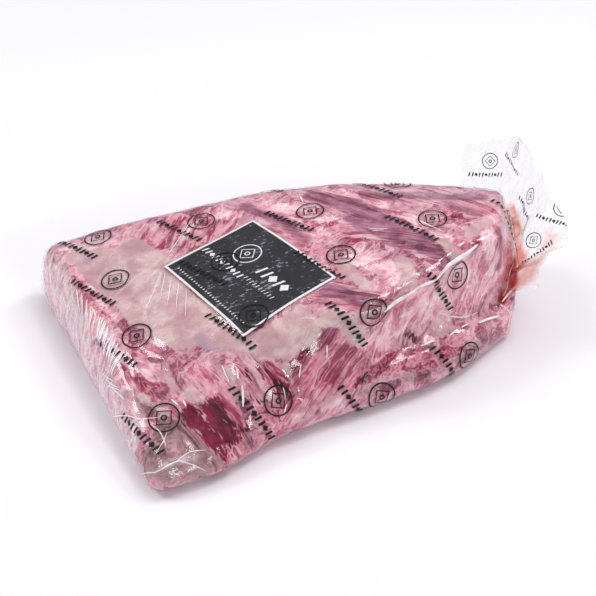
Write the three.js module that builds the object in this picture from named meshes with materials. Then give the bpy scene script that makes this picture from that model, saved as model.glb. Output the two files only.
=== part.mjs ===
// A block of marbled raw beef, chuck short ribs, sealed in a clear shrink bag: the sealed block, the label
// card that lies on its top, and the loose tail of the bag at its right end. Millimetres, +Z up, resting on
// its flat underside. +X runs along the block from its broad low end to its narrow high end, and the long
// sloping side faces -Y.
import * as THREE from "three";

// ---------------------------------------------------------------------------------------------------------
// Driving dimensions of the block. A curve along the block is a list of [x, value] knots.

const LEFT_END_X = -162; // where the rounding of the broad end starts
const RIGHT_END_X = 135; // where the rounding of the narrow end starts
const STATION_COUNT = 50; // sections along the block
const SAMPLES_PER_SPAN = 4; // points of a ring between two points of its outline

// Plan: how far the foot of the front side and of the back side lie from the block's own axis.
const FRONT_FOOT_Y = [
  [-170, -171], [-118, -166], [-60, -149], [0, -142], [60, -134], [105, -120], [136, -105],
];
const BACK_FOOT_Y = [[-175, 70], [-95, 72], [-30, 68], [30, 50], [90, 22], [140, -8]];

// Height of the top along the front shoulder and along the back edge.
const SHOULDER_Z = [[-165, 47], [-106, 58], [-50, 67], [4, 74], [50, 80], [100, 83], [136, 83]];
const BACK_EDGE_Z = [[-165, 52], [-100, 62], [-60, 66], [-10, 74], [40, 80], [100, 83], [136, 84]];
const TOP_CROWN = [[-170, 3], [-60, 4], [60, 5], [140, 5]]; // how far the middle of the top bulges up
const BACK_ROUNDING = [[-165, 12], [-60, 20], [136, 26]]; // depth over which the top rolls into the back side
const BACK_BULGE = 3; // how far the back side swells past its foot
const BACK_SHARES = { roll: 0.3, drop: 0.5, widest: 0.5, low: 0.16, lowBulge: 0.6 }; // where it bends
const TOP_SHARES = [0.25, 0.5, 0.75]; // points of the top's outline between the shoulder and the back edge
const FOOT_INSET = 6; // how far the flat underside stays inside the swell above it

// The front side at stations along the block, from the foot to the shoulder, each point as [inset from the
// foot, share of the shoulder's height]. On the left it is one long soft slope. On the right it is a steep
// facet above a crease, over a slab that juts out.
const FRONT_PROFILES = [
  { x: -165, points: [[0, 0], [-3, 0.18], [4, 0.44], [27, 0.62], [58, 0.82], [94, 1]] },
  { x: -118, points: [[0, 0], [-3, 0.17], [5, 0.42], [22, 0.63], [42, 0.81], [72, 1]] },
  { x: -62, points: [[0, 0], [-3, 0.17], [2, 0.4], [11, 0.63], [22, 0.82], [44, 1]] },
  { x: 4, points: [[0, 0], [-3, 0.15], [2, 0.28], [10, 0.4], [14, 0.72], [17, 1]] },
  { x: 30, points: [[0, 0], [-3, 0.15], [6, 0.34], [18, 0.44], [20, 0.72], [22, 1]] },
  { x: 65, points: [[0, 0], [-3, 0.16], [8, 0.37], [23, 0.46], [25, 0.74], [27, 1]] },
  { x: 100, points: [[0, 0], [-4, 0.16], [3, 0.36], [15, 0.43], [24, 0.72], [32, 1]] },
  { x: 136, points: [[0, 0], [-4, 0.16], [0, 0.32], [10, 0.39], [13, 0.72], [17, 1]] },
];

// The two ends. A section is skewed in plan, so that the ends run as they do, and leans in towards its top.
const FOOT_SKEW = [[-170, -0.12], [-60, 0], [60, 0.08], [136, 0.34]]; // mm of x for each mm of y
const TOP_SKEW = [[-170, -0.12], [-60, 0], [70, 0.1], [136, 0.54]];
const END_LEAN = [[-170, 0.17], [-110, 0], [90, 0], [136, -0.11]]; // mm of x for each mm of height
const SKEW_PIVOT_Y = -60; // a section turns about this line in plan
const LEFT_ROUNDING = 10; // radius of the broad end's edges
const LEFT_SWELL = 2; // how far the middle of that end stands out
const RIGHT_ROUNDING = 12; // the same for the narrow end, which stands out to the bag's seam
const RIGHT_SWELL = 9;
const ROUNDING_STEPS = 4;
const SPINE_MARGIN = 0.35; // how far the line that an end closes on stops short of its sides, as a share
const SPINE_REACH = 0.6; // most of the way to that line that the rounding may take
const END_FILL_SHARES = [0.3, 0.6, 0.85]; // rings that fill an end, as shares of the way to its middle

// ---------------------------------------------------------------------------------------------------------
// Driving dimensions of the label card and of the bag's tail.

const LABEL_WIDTH = 78;
const LABEL_LENGTH = 97;
const LABEL_TURN = THREE.MathUtils.degToRad(17);
const LABEL_CENTRE = new THREE.Vector2(-55, -51);
const LABEL_THICKNESS = 0.8;
const LABEL_STEPS = [14, 18];
const LABEL_COLOUR = 0x34373c;

// The tail fans out in plan around a point inside the block. A curve along it is a list of
// [share of the fan, value].
const TAIL_PIVOT = new THREE.Vector2(100, -60);
const TAIL_START_DEG = -58;
const TAIL_END_DEG = 62;
const TAIL_ROOT_Z = [[0, 42], [0.5, 48], [1, 60]];
const TAIL_REACH = [[0, 18], [0.2, 26], [0.4, 30], [0.5, 22], [0.7, 13], [0.85, 28], [1, 26]]; // outwards
const TAIL_RISE = [[0, 8], [0.2, 18], [0.4, 34], [0.5, 42], [0.7, 54], [0.85, 44], [1, 30]]; // upwards
const TAIL_WAVES = { count: 3.5, phase: 0.1, height: 3.5 };
const TAIL_RIPPLES = { count: 9, twist: 0.7, height: 1.6 };
const TAIL_THICKNESS = 1.2;
const TAIL_STEPS = [44, 10];
const TAIL_COLOUR = 0xe9e1dd;

const MEAT_COLOUR = 0xa86f74;
const CARD_GAP = 0.4; // what the label card keeps from the block
const TAIL_GAP = 0.8; // what the tail's root keeps from it
const OUTSIDE = 200; // a distance that lies well outside the block

// ---------------------------------------------------------------------------------------------------------
// Small helpers.

// Value at x of the smooth curve through the knots, held level beyond the first and the last.
function along(knots, x) {
  const last = knots.length - 1;
  if (x <= knots[0][0]) return knots[0][1];
  if (x >= knots[last][0]) return knots[last][1];
  const i = knots.findIndex((knot, k) => k < last && x < knots[k + 1][0]);
  const slope = (a, b) => (knots[b][1] - knots[a][1]) / (knots[b][0] - knots[a][0]);
  const startSlope = i > 0 ? slope(i - 1, i + 1) : slope(i, i + 1);
  const endSlope = i + 1 < last ? slope(i, i + 2) : slope(i, i + 1);
  const span = knots[i + 1][0] - knots[i][0];
  const t = (x - knots[i][0]) / span;
  const t2 = t * t;
  const t3 = t2 * t;
  return (
    (2 * t3 - 3 * t2 + 1) * knots[i][1] +
    (t3 - 2 * t2 + t) * span * startSlope +
    (3 * t2 - 2 * t3) * knots[i + 1][1] +
    (t3 - t2) * span * endSlope
  );
}

// A mesh with its own plain material, from a list of corner points and a list of triangles.
function meshOf(name, points, triangles, colour, roughness) {
  const geometry = new THREE.BufferGeometry().setFromPoints(points);
  geometry.setIndex(triangles.flat());
  geometry.computeVertexNormals();
  const material = new THREE.MeshStandardMaterial({ color: colour, roughness, metalness: 0 });
  const mesh = new THREE.Mesh(geometry, material);
  mesh.name = name;
  return mesh;
}

// ---------------------------------------------------------------------------------------------------------
// The sealed block: rings lofted along X, closed by a rounded end on the left and a blunt wedge on the right.

// Points of the front side's profile at x, each as [y, z], from the foot up to the shoulder.
function frontSide(x) {
  return FRONT_PROFILES[0].points.map((unused, k) => {
    const inset = along(FRONT_PROFILES.map((profile) => [profile.x, profile.points[k][0]]), x);
    const share = along(FRONT_PROFILES.map((profile) => [profile.x, profile.points[k][1]]), x);
    return [along(FRONT_FOOT_Y, x) + inset, share * along(SHOULDER_Z, x)];
  });
}

// Points of the top at x, from the shoulder's neighbour to the edge where it rolls into the back side.
function topSide(x) {
  const [shoulderY, shoulderZ] = frontSide(x).at(-1);
  const backTopY = along(BACK_FOOT_Y, x) - along(BACK_ROUNDING, x);
  const backTopZ = along(BACK_EDGE_Z, x);
  const between = TOP_SHARES.map((t) => [
    THREE.MathUtils.lerp(shoulderY, backTopY, t),
    THREE.MathUtils.lerp(shoulderZ, backTopZ, t) + along(TOP_CROWN, x) * Math.sin(Math.PI * t),
  ]);
  return [...between, [backTopY, backTopZ]];
}

// The whole outline at x as [y, z] points: up the front, over the top, down the back and along the underside.
function outline(x) {
  const front = frontSide(x);
  front[0][0] += FOOT_INSET;
  const footY = along(BACK_FOOT_Y, x);
  const rounding = along(BACK_ROUNDING, x);
  const topZ = along(BACK_EDGE_Z, x);
  const back = [
    [footY - BACK_SHARES.roll * rounding, topZ - BACK_SHARES.drop * rounding],
    [footY + BACK_BULGE, BACK_SHARES.widest * topZ],
    [footY + BACK_SHARES.lowBulge * BACK_BULGE, BACK_SHARES.low * topZ],
    [footY - FOOT_INSET, 0],
  ];
  const underside = [[(footY + front[0][0]) / 2, 0]];
  return [...front, ...topSide(x), ...back, ...underside];
}

// The smooth closed section through the outline at x, as points (y, z).
function sectionAt(x) {
  const corners = outline(x).map(([y, z]) => new THREE.Vector3(y, z, 0));
  const curve = new THREE.CatmullRomCurve3(corners, true, "centripetal");
  const count = corners.length * SAMPLES_PER_SPAN;
  return Array.from({ length: count }, (unused, k) => {
    const point = curve.getPoint(k / count);
    return new THREE.Vector2(point.x, Math.max(0, point.y));
  });
}

// A section set in space at station x, skewed in plan and leaning, and moved out along the block.
function ringOf(section, x, out = 0) {
  return section.map(({ x: y, y: z }) => {
    const height = z / along(SHOULDER_Z, x);
    const skew = THREE.MathUtils.lerp(along(FOOT_SKEW, x), along(TOP_SKEW, x), height);
    const shift = skew * (y - SKEW_PIVOT_Y) + along(END_LEAN, x) * z;
    return new THREE.Vector3(x + shift + out, y, z);
  });
}

// The section at x drawn in towards the line half way up it, by a distance and then by a share of the rest.
function drawnIn(section, x, distance, share) {
  const upperSide = [...frontSide(x).slice(2), ...topSide(x)];
  const box = new THREE.Box2().setFromPoints(section);
  const margin = SPINE_MARGIN * (box.max.y - box.min.y);
  return section.map((point) => {
    const y = THREE.MathUtils.clamp(point.x, box.min.x + margin, box.max.x - margin);
    const arm = new THREE.Vector2(y, along(upperSide, y) / 2).sub(point);
    const first = Math.min(distance, SPINE_REACH * arm.length());
    return point.clone().addScaledVector(arm, (first + share * (arm.length() - first)) / arm.length());
  });
}

// The rings that round an end off and fill it, from the end's section outwards. sign is the way it faces.
function endRings(x, sign, rounding, swell) {
  const section = sectionAt(x);
  const rings = [];
  for (let step = 1; step <= ROUNDING_STEPS; step++) {
    const angle = (step / ROUNDING_STEPS) * (Math.PI / 2);
    const smaller = drawnIn(section, x, rounding * (1 - Math.cos(angle)), 0);
    rings.push(ringOf(smaller, x, sign * rounding * Math.sin(angle)));
  }
  for (const share of END_FILL_SHARES) {
    const out = rounding + swell * Math.sin((share * Math.PI) / 2);
    rings.push(ringOf(drawnIn(section, x, rounding, share), x, sign * out));
  }
  return rings;
}

function blockRings() {
  const rings = [];
  for (let i = 0; i < STATION_COUNT; i++) {
    const x = THREE.MathUtils.lerp(LEFT_END_X, RIGHT_END_X, i / (STATION_COUNT - 1));
    rings.push(ringOf(sectionAt(x), x));
  }
  const left = endRings(LEFT_END_X, -1, LEFT_ROUNDING, LEFT_SWELL).reverse();
  const right = endRings(RIGHT_END_X, 1, RIGHT_ROUNDING, RIGHT_SWELL);
  return [...left, ...rings, ...right];
}

// Triangles that fill one end ring. sign is +1 for the end that faces +X and -1 for the one that faces -X.
function endTriangles(ring, firstIndex, sign) {
  const flat = ring.map((point) => new THREE.Vector2(point.y, point.z));
  return THREE.ShapeUtils.triangulateShape(flat, []).map(([a, b, c]) => {
    const turn = flat[b].clone().sub(flat[a]).cross(flat[c].clone().sub(flat[a]));
    const corners = turn * sign > 0 ? [a, b, c] : [a, c, b];
    return corners.map((corner) => corner + firstIndex);
  });
}

function sealedBlock() {
  const rings = blockRings();
  const count = rings[0].length;
  const triangles = [];
  for (let i = 0; i + 1 < rings.length; i++) {
    for (let k = 0; k < count; k++) {
      const next = (k + 1) % count;
      const [a, b] = [i * count + k, i * count + next];
      const [d, c] = [a + count, b + count];
      triangles.push([a, d, b], [b, d, c]);
    }
  }
  triangles.push(...endTriangles(rings[0], 0, -1));
  triangles.push(...endTriangles(rings[rings.length - 1], (rings.length - 1) * count, 1));
  return meshOf("sealed_meat", rings.flat(), triangles, MEAT_COLOUR, 0.35);
}

// ---------------------------------------------------------------------------------------------------------
// Thin pieces: a grid of points with a second grid one thickness away, joined round the rim.

// at(u, v) gives a point of the lower face and thick(u, v) the step from it to the upper face.
function thinSheet(name, [across, deep], at, thick, colour, roughness) {
  const points = [];
  for (const side of [0, 1]) {
    for (let j = 0; j <= deep; j++) {
      for (let i = 0; i <= across; i++) {
        const [u, v] = [i / across, j / deep];
        points.push(at(u, v).addScaledVector(thick(u, v), side));
      }
    }
  }
  const upper = (across + 1) * (deep + 1);
  const corner = (i, j) => j * (across + 1) + i;
  const triangles = [];
  for (let j = 0; j < deep; j++) {
    for (let i = 0; i < across; i++) {
      const [a, b, c, d] = [corner(i, j), corner(i + 1, j), corner(i + 1, j + 1), corner(i, j + 1)];
      triangles.push([a, c, b], [a, d, c]);
      triangles.push([a + upper, b + upper, c + upper], [a + upper, c + upper, d + upper]);
    }
  }
  const rim = [];
  for (let i = 0; i < across; i++) rim.push(corner(i, 0));
  for (let j = 0; j < deep; j++) rim.push(corner(across, j));
  for (let i = across; i > 0; i--) rim.push(corner(i, deep));
  for (let j = deep; j > 0; j--) rim.push(corner(0, j));
  rim.forEach((a, k) => {
    const b = rim[(k + 1) % rim.length];
    triangles.push([a, b, b + upper], [a, b + upper, a + upper]);
  });
  return meshOf(name, points, triangles, colour, roughness);
}

// The first point of the block met by a ray.
function hitOn(block, from, direction) {
  const hits = new THREE.Raycaster(from, direction.clone().normalize()).intersectObject(block);
  return hits[0].point;
}

function labelCard(block) {
  const wide = new THREE.Vector2(Math.cos(LABEL_TURN), Math.sin(LABEL_TURN));
  const long = new THREE.Vector2(-wide.y, wide.x);
  const at = (u, v) => {
    const place = LABEL_CENTRE.clone();
    place.addScaledVector(wide, (u - 0.5) * LABEL_WIDTH);
    place.addScaledVector(long, (v - 0.5) * LABEL_LENGTH);
    const hit = hitOn(block, new THREE.Vector3(place.x, place.y, OUTSIDE), new THREE.Vector3(0, 0, -1));
    return hit.add(new THREE.Vector3(0, 0, CARD_GAP));
  };
  const thick = () => new THREE.Vector3(0, 0, LABEL_THICKNESS);
  return thinSheet("label_card", LABEL_STEPS, at, thick, LABEL_COLOUR, 0.5);
}

// The tail leaves the blunt end at the bag's seam, fans out round it and stands up in soft waves.
function bagTail(block) {
  const radial = (u) => {
    const angle = THREE.MathUtils.degToRad(THREE.MathUtils.lerp(TAIL_START_DEG, TAIL_END_DEG, u));
    return new THREE.Vector3(Math.cos(angle), Math.sin(angle), 0);
  };
  const root = (u) => {
    const out = radial(u);
    const pivot = new THREE.Vector3(TAIL_PIVOT.x, TAIL_PIVOT.y, along(TAIL_ROOT_Z, u));
    const from = pivot.clone().addScaledVector(out, OUTSIDE);
    return hitOn(block, from, out.clone().negate()).addScaledVector(out, TAIL_GAP);
  };
  const at = (u, v) => {
    const out = radial(u);
    const wave = Math.sin(2 * Math.PI * (TAIL_WAVES.count * u + TAIL_WAVES.phase));
    const ripple = Math.sin(2 * Math.PI * (TAIL_RIPPLES.count * u + TAIL_RIPPLES.twist * v));
    const push = wave * TAIL_WAVES.height + ripple * TAIL_RIPPLES.height;
    return root(u)
      .addScaledVector(out, (along(TAIL_REACH, u) + push) * v)
      .add(new THREE.Vector3(0, 0, (along(TAIL_RISE, u) - push) * v));
  };
  const thick = (u) => {
    const underneath = radial(u).multiplyScalar(along(TAIL_RISE, u));
    underneath.z -= along(TAIL_REACH, u);
    return underneath.normalize().multiplyScalar(TAIL_THICKNESS);
  };
  return thinSheet("bag_tail", TAIL_STEPS, at, thick, TAIL_COLOUR, 0.15);
}

// ---------------------------------------------------------------------------------------------------------
// The whole, moved so that the origin is the middle of its box at the level of the underside.

const pack = new THREE.Group();
const block = sealedBlock();
pack.add(block, labelCard(block), bagTail(block));

const wholeBox = new THREE.Box3().setFromObject(pack);
const middle = wholeBox.getCenter(new THREE.Vector3());
pack.position.set(-middle.x, -middle.y, -wholeBox.min.z);

const part = new THREE.Group();
part.add(pack);

export default part;
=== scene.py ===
# %% [markdown]
# # Raw beef chuck short ribs, sealed in a clear shrink bag
#
# The object is one big block of marbled raw beef in a clear bag that has been shrunk tight over it. A dark
# label card lies on the meat under the film, the film carries a small black print that repeats, and the
# loose end of the bag stands up behind the right end. The solids in the frame give the true size and
# outline. This script gives them their looks: meat with fat, marbling and grain, and a thin glossy film
# with wrinkles around it.

# %% Load the frame
import math
import random

import bmesh
import bpy
import numpy as np
from mathutils import Matrix, Vector, noise
from mathutils.bvhtree import BVHTree


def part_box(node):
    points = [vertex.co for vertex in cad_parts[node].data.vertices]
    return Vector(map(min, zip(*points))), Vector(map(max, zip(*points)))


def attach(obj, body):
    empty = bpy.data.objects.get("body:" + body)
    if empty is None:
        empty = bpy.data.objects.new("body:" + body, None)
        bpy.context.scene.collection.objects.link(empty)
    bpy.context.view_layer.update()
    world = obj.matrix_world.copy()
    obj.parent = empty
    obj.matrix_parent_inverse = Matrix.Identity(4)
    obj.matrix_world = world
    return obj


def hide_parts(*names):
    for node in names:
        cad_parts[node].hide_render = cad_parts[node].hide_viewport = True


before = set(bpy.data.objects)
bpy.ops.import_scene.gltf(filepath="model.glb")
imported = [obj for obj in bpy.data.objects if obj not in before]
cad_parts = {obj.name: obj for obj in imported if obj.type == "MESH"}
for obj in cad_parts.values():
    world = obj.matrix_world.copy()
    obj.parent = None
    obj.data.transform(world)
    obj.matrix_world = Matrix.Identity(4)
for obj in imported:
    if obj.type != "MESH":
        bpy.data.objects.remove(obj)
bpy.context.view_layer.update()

MM = 0.001  # the frame is in metres, and this script thinks in millimetres
block_low, block_high = (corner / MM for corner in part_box("sealed_meat"))
print("block, mm:", [round(c) for c in block_high - block_low])

# %% [markdown]
# ## The camera
#
# The photograph looks down on the block at about 36 degrees, from the left of its long sloping side,
# through a lens a little longer than normal. Only the height, the turn and the distance have to be known:
# the place follows from them, and the camera looks at the middle of the block's underside.

# %% Camera
CAMERA_TURN = math.radians(20)
CAMERA_HEIGHT = math.radians(36)
CAMERA_DISTANCE = 923  # mm from the point that it looks at
LOOK_AT = Vector((1.1, 48.9, 0))
FOCAL_LENGTH = 72.5  # mm
SENSOR_WIDTH = 36  # mm

level = CAMERA_DISTANCE * math.cos(CAMERA_HEIGHT)
camera_at = LOOK_AT + Vector((
    -level * math.sin(CAMERA_TURN),
    -level * math.cos(CAMERA_TURN),
    CAMERA_DISTANCE * math.sin(CAMERA_HEIGHT),
))
camera = bpy.data.objects.new("camera", bpy.data.cameras.new("camera"))
camera.data.lens = FOCAL_LENGTH
camera.data.sensor_width = SENSOR_WIDTH
camera.location = camera_at * MM
camera.rotation_euler = (LOOK_AT - camera_at).to_track_quat("-Z", "Y").to_euler()
bpy.context.scene.collection.objects.link(camera)
bpy.context.scene.camera = camera
print("camera at, mm:", [round(c) for c in camera_at])

# %% [markdown]
# ## An even skin over the block
#
# The meat and the film both follow the solid block, but its faces are long and uneven, too coarse for grain
# or wrinkles. A voxel remesh lays small faces of one size over the whole block. It needs a closed mesh, so
# the solid's loose triangles are joined first, on a copy, because the frame's own mesh is never changed.


# %% Join a solid's loose triangles
SAME_CORNER = 0.01  # mm within which two corners are one


def add_piece(name, mesh):
    piece = bpy.data.objects.new(name, mesh)
    bpy.context.scene.collection.objects.link(piece)
    return piece


def merged_copy(node_name):
    """A bmesh of a node's solid, with its loose triangles joined at their corners."""
    joined = bmesh.new()
    joined.from_mesh(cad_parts[node_name].data)
    bmesh.ops.remove_doubles(joined, verts=joined.verts, dist=SAME_CORNER * MM)
    return joined


def finished_mesh(bm, name):
    mesh = bpy.data.meshes.new(name)
    bm.to_mesh(mesh)
    bm.free()
    return mesh


# %% Remesh the block evenly
MEAT_FACE = 1.9  # mm
FILM_FACE = 1.7


def apply_modifiers(piece):
    graph = bpy.context.evaluated_depsgraph_get()
    mesh = bpy.data.meshes.new_from_object(piece.evaluated_get(graph))
    piece.modifiers.clear()
    piece.data = mesh


def even_skin(name, face_size):
    """A closed piece over the block whose faces are all about face_size mm wide."""
    piece = add_piece(name, finished_mesh(merged_copy("sealed_meat"), name))
    remesh = piece.modifiers.new("even faces", "REMESH")
    remesh.mode = "VOXEL"
    remesh.voxel_size = face_size * MM
    apply_modifiers(piece)
    soften = piece.modifiers.new("soften", "SMOOTH")
    soften.factor = 0.5
    soften.iterations = 3
    apply_modifiers(piece)
    print(name, "faces:", len(piece.data.polygons))
    return piece


meat = even_skin("meat_block", MEAT_FACE)
film = even_skin("film_wrap", FILM_FACE)


# %% Read and write a mesh's points as arrays, in millimetres
def points_of(piece):
    flat = np.empty(len(piece.data.vertices) * 3)
    piece.data.vertices.foreach_get("co", flat)
    return flat.reshape(-1, 3) / MM


def normals_of(piece):
    flat = np.empty(len(piece.data.vertices) * 3)
    piece.data.vertices.foreach_get("normal", flat)
    return flat.reshape(-1, 3)


def move_points(piece, points):
    piece.data.vertices.foreach_set("co", (points * MM).ravel())
    piece.data.update()


# %% [markdown]
# ## From the photo's pixels to the block
#
# Muscles, fat and folds are easiest to place where they are seen, so their outlines are short lists of
# pixels of the photo, which is 596 pixels square. A ray from the camera through a pixel meets the block at
# the point that shows there. From then on everything is a point in space, in millimetres, so it stays put
# from any side.


# %% Cast rays through pixels
PHOTO_SIZE = 596
LOOKED_ALONG = range(600, 1300, 4)  # mm from the camera, where a ray passes the block


def surface_tree(piece):
    """A search tree over a piece's faces, in mm."""
    faces = [tuple(face.vertices) for face in piece.data.polygons]
    return BVHTree.FromPolygons([tuple(p) for p in points_of(piece)], faces)


def seen(pixel, tree):
    """The point and normal of a surface that show at a pixel of the photo, or the nearest ones beside it."""
    focal_pixels = FOCAL_LENGTH / SENSOR_WIDTH * PHOTO_SIZE
    way = Vector((pixel[0] - PHOTO_SIZE / 2, PHOTO_SIZE / 2 - pixel[1], -focal_pixels)).normalized()
    way = camera.rotation_euler.to_matrix() @ way
    spot, normal, _, _ = tree.ray_cast(camera_at, way)
    if spot is None:
        passed = [tree.find_nearest(camera_at + way * reach) for reach in LOOKED_ALONG]
        spot, normal, _, _ = min(passed, key=lambda found: found[3])
    return spot, normal


skin_tree = surface_tree(film)


def on_surface(line, tree):
    """A line's corners as points on a surface, from pixels, or from points already in mm."""
    return [corner if len(corner) == 3 else tuple(seen(corner, tree)[0]) for corner in line]


# %% [markdown]
# ## Where each tissue lies
# On the steep facet the pale muscle is painted lighter still, as painted front light.
#
# Beef of this cut is not one red mass. Bands of cream fat run between muscles, some muscles are deep red,
# others are plum with a shine along their grain, and pale muscle is so finely marbled that it looks pink.
# Each tissue is laid out as soft strokes: a line with a radius. The distance to the nearest stroke becomes
# a value that falls from 1 inside to 0 outside, and the material breaks its edge up with noise later. A
# stroke is (radius in mm, strength, corners), and corners with three numbers are points in mm on the sides
# that the photo doesn't show.

# %% Strokes of fat
TISSUES = {}
TISSUES["fat"] = [
    (17, 1, [(100, 262), (128, 287), (150, 310), (185, 328)]),  # the broad field left of the card
    (13, 1, [(150, 264), (175, 300), (212, 325)]),
    (11, 1, [(132, 247), (158, 268)]),
    (9, 1, [(215, 336), (246, 344), (276, 338), (298, 322)]),  # and below it
    (8, 1, [(236, 338), (262, 350), (288, 342)]),
    (9, 1, [(284, 336), (306, 330)]),
    (5, 1, [(300, 308), (312, 322)]),
    (8, 0.9, [(76, 256), (95, 266)]),
    (5, 0.6, [(72, 247), (100, 242), (118, 240)]),
    (4, 0.8, [(160, 374), (172, 386), (190, 394), (204, 400)]),
    (5, 0.62, [(140, 396), (156, 410)]),
    (4, 0.6, [(146, 430), (152, 444)]),
    (5, 1, [(342, 265), (352, 275), (366, 284)]),
    (5.5, 1, [(326, 317), (346, 322), (360, 334)]),
    (5, 1, [(443, 240), (452, 250), (457, 257)]),
    (5, 1, [(470, 232), (480, 228), (489, 221)]),
    (5, 1, [(404, 260), (411, 271), (407, 284)]),
    (6, 1, [(435, 331), (445, 328)]),
    (2.5, 0.9, [(352, 325), (366, 316), (385, 306), (400, 297)]),
    (2.2, 0.9, [(283, 364), (291, 380), (298, 394)]),
    (2.5, 0.9, [(226, 366), (232, 380)]),
    (2.2, 0.7, [(240, 400), (250, 420), (256, 432)]),
    (2.5, 0.8, [(300, 422), (322, 408), (342, 394)]),
    (8, 1, [(-132, 116, 47), (-98, 121, 29), (-64, 117, 37), (-22, 106, 25)]),
    (5, 1, [(-64, 117, 37), (-40, 108, 52), (-18, 100, 58)]),
    (6, 1, [(34, 98, 61), (52, 92, 43), (84, 80, 38)]),
]
TISSUES["lilac"] = [
    (9, 0.5, [(88, 262), (106, 275)]),
    (7, 0.5, [(124, 262), (136, 272)]),
    (5, 1, [(204, 334), (209, 354)]),
    (5, 1, [(224, 354), (238, 366)]),
    (4, 0.7, [(157, 248), (161, 254)]),
]

# %% Strokes of red muscle
TISSUES["rose"] = [
    (5, 0.9, [(49, 249), (57, 256)]),
    (2.6, 0.9, [(62, 261), (75, 280), (84, 296), (97, 312), (110, 325), (122, 334)]),  # along the end's edge
    (6, 1, [(123, 337), (137, 346), (150, 352)]),
    (9, 0.9, [(126, 228), (144, 236), (153, 245)]),
    (9, 1, [(172, 222), (190, 232), (196, 246)]),
    (9, 0.8, [(190, 216), (214, 226), (234, 240)]),
    (5, 1, [(178, 250), (200, 241), (226, 234)]),
    (6, 0.7, [(188, 362), (204, 376), (212, 384)]),
    (9, 0.7, [(196, 404), (220, 398), (240, 424), (226, 448)]),  # round the darkest muscle
    (4, 0.7, [(156, 388), (164, 404), (176, 416)]),
    (6, 0.6, [(128, 362), (140, 380), (150, 396)]),
    (6, 0.6, [(244, 452), (262, 440), (300, 424)]),
    (4, 0.5, [(150, 482), (170, 480), (190, 474)]),
    (4, 0.9, [(272, 224), (296, 240), (318, 254)]),
    (9, 0.9, [(314, 289), (340, 296), (380, 305)]),
    (4, 0.9, [(368, 319), (379, 323)]),
    (4, 0.9, [(415, 278), (424, 282), (433, 277)]),
    (5, 0.9, [(459, 240), (468, 246), (477, 240)]),
    (6, 0.8, [(332, 226), (352, 238)]),
    (5, 0.9, [(318, 334), (306, 346)]),
    (4, 0.8, [(338, 330), (343, 335)]),
    (14, 0.85, [(282, 372), (310, 365), (340, 352), (352, 365)]),  # the fan of red strands on the slope
    (12, 0.85, [(292, 398), (318, 390), (340, 378)]),
    (8, 0.7, [(284, 414), (262, 418)]),
    (8, 0.8, [(448, 212), (470, 214), (490, 206)]),
    (5, 1, [(508, 206), (512, 222), (514, 244), (512, 268), (506, 290)]),  # by the seam of the bag
    (4, 0.7, [(384, 288), (396, 296)]),
    (10, 0.8, [(375, 364), (420, 356), (455, 340)]),
    (14, 0.8, [(-150, 112, 22), (-110, 120, 18)]),
    (12, 0.8, [(0, 104, 60), (30, 100, 28)]),
    (12, 0.7, [(148, 30, 40), (140, 50, 60)]),
]

# %% Strokes of the darkest muscle, and of plum muscle
TISSUES["deep"] = [
    (6, 1, [(190, 414), (204, 428), (216, 444)]),  # the darkest muscle, low on the slope
    (6, 1, [(214, 408), (222, 424), (230, 436)]),
    (4, 0.8, [(208, 440), (222, 452)]),
    (3.5, 0.8, [(204, 404), (214, 414)]),
    (2.5, 0.7, [(236, 424), (240, 440)]),
    (4.5, 0.65, [(262, 370), (275, 381), (289, 398)]),
    (3, 0.6, [(246, 372), (253, 381)]),
    (3, 0.6, [(250, 394), (270, 405)]),
    (3, 0.5, [(281, 362), (294, 372), (300, 383)]),
    (3, 0.5, [(302, 350), (318, 345), (328, 334)]),
    (3, 0.4, [(328, 352), (340, 344)]),
    (2.5, 0.8, [(252, 427), (248, 434)]),
    (2.4, 1, [(409, 334), (413, 337)]),
    (3, 0.65, [(356, 385), (366, 376)]),
    (2, 0.6, [(514, 240), (513, 266), (507, 290)]),  # by the seam of the bag
    (9, 0.7, [(-60, 117, 44), (-20, 110, 20)]),
]
TISSUES["plum"] = [
    (10, 1, [(366, 222), (395, 232), (424, 242), (440, 251)]),  # the big muscle on the top
    (6, 0.9, [(352, 216), (372, 214), (398, 219)]),
    (6, 1, [(312, 194), (340, 199), (370, 209)]),
    (5, 0.9, [(245, 205), (266, 215), (286, 222)]),
    (4, 0.8, [(284, 226), (306, 240)]),
    (6.5, 1, [(332, 290), (352, 296), (374, 304)]),
    (5, 0.8, [(454, 206), (480, 212)]),
    (6, 0.8, [(366, 191), (400, 193), (440, 195), (480, 196)]),
    (3, 0.8, [(500, 232), (502, 250), (500, 268)]),
    (14, 0.8, [(60, 90, 66), (110, 64, 60)]),
    (14, 0.7, [(90, 70, 24), (40, 96, 16)]),
]

# %% Strokes of pale muscle, painted lighter on the steep facet in place of front light, and of grey
TISSUES["pale"] = [
    (15, 1, [(402, 316), (430, 302), (458, 284), (482, 262)]),  # the steep facet, where the pale colour also paints front light
    (12, 1, [(444, 306), (478, 290), (494, 268)]),
    (9, 1, [(386, 330), (372, 346), (384, 344)]),
    (7, 1, [(490, 240), (497, 214)]),
    (8, 0.9, [(268, 205), (298, 212), (328, 217)]),
    (7, 0.8, [(298, 226), (326, 234)]),
    (9, 0.9, [(358, 256), (384, 264), (396, 272)]),
    (3.5, 1, [(350, 190), (374, 200), (396, 210), (420, 221), (440, 232), (452, 240)]),
    (6, 0.8, [(366, 284), (390, 280)]),
    (30, 1, [(54, 280), (76, 324), (100, 384), (126, 440)]),  # the broad end
    (9, 0.9, [(100, 246), (122, 240)]),
    (6, 0.8, [(206, 211), (236, 214)]),
    (8, 0.8, [(508, 312), (508, 330)]),
    (5, 0.7, [(150, 366), (140, 384)]),
    (10, 0.6, [(260, 420), (300, 410), (330, 402)]),
    (26, 0.8, [(-178, 60, 30), (-176, 100, 28)]),
    (16, 0.8, [(152, 20, 30), (150, 30, 60)]),
]
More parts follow.
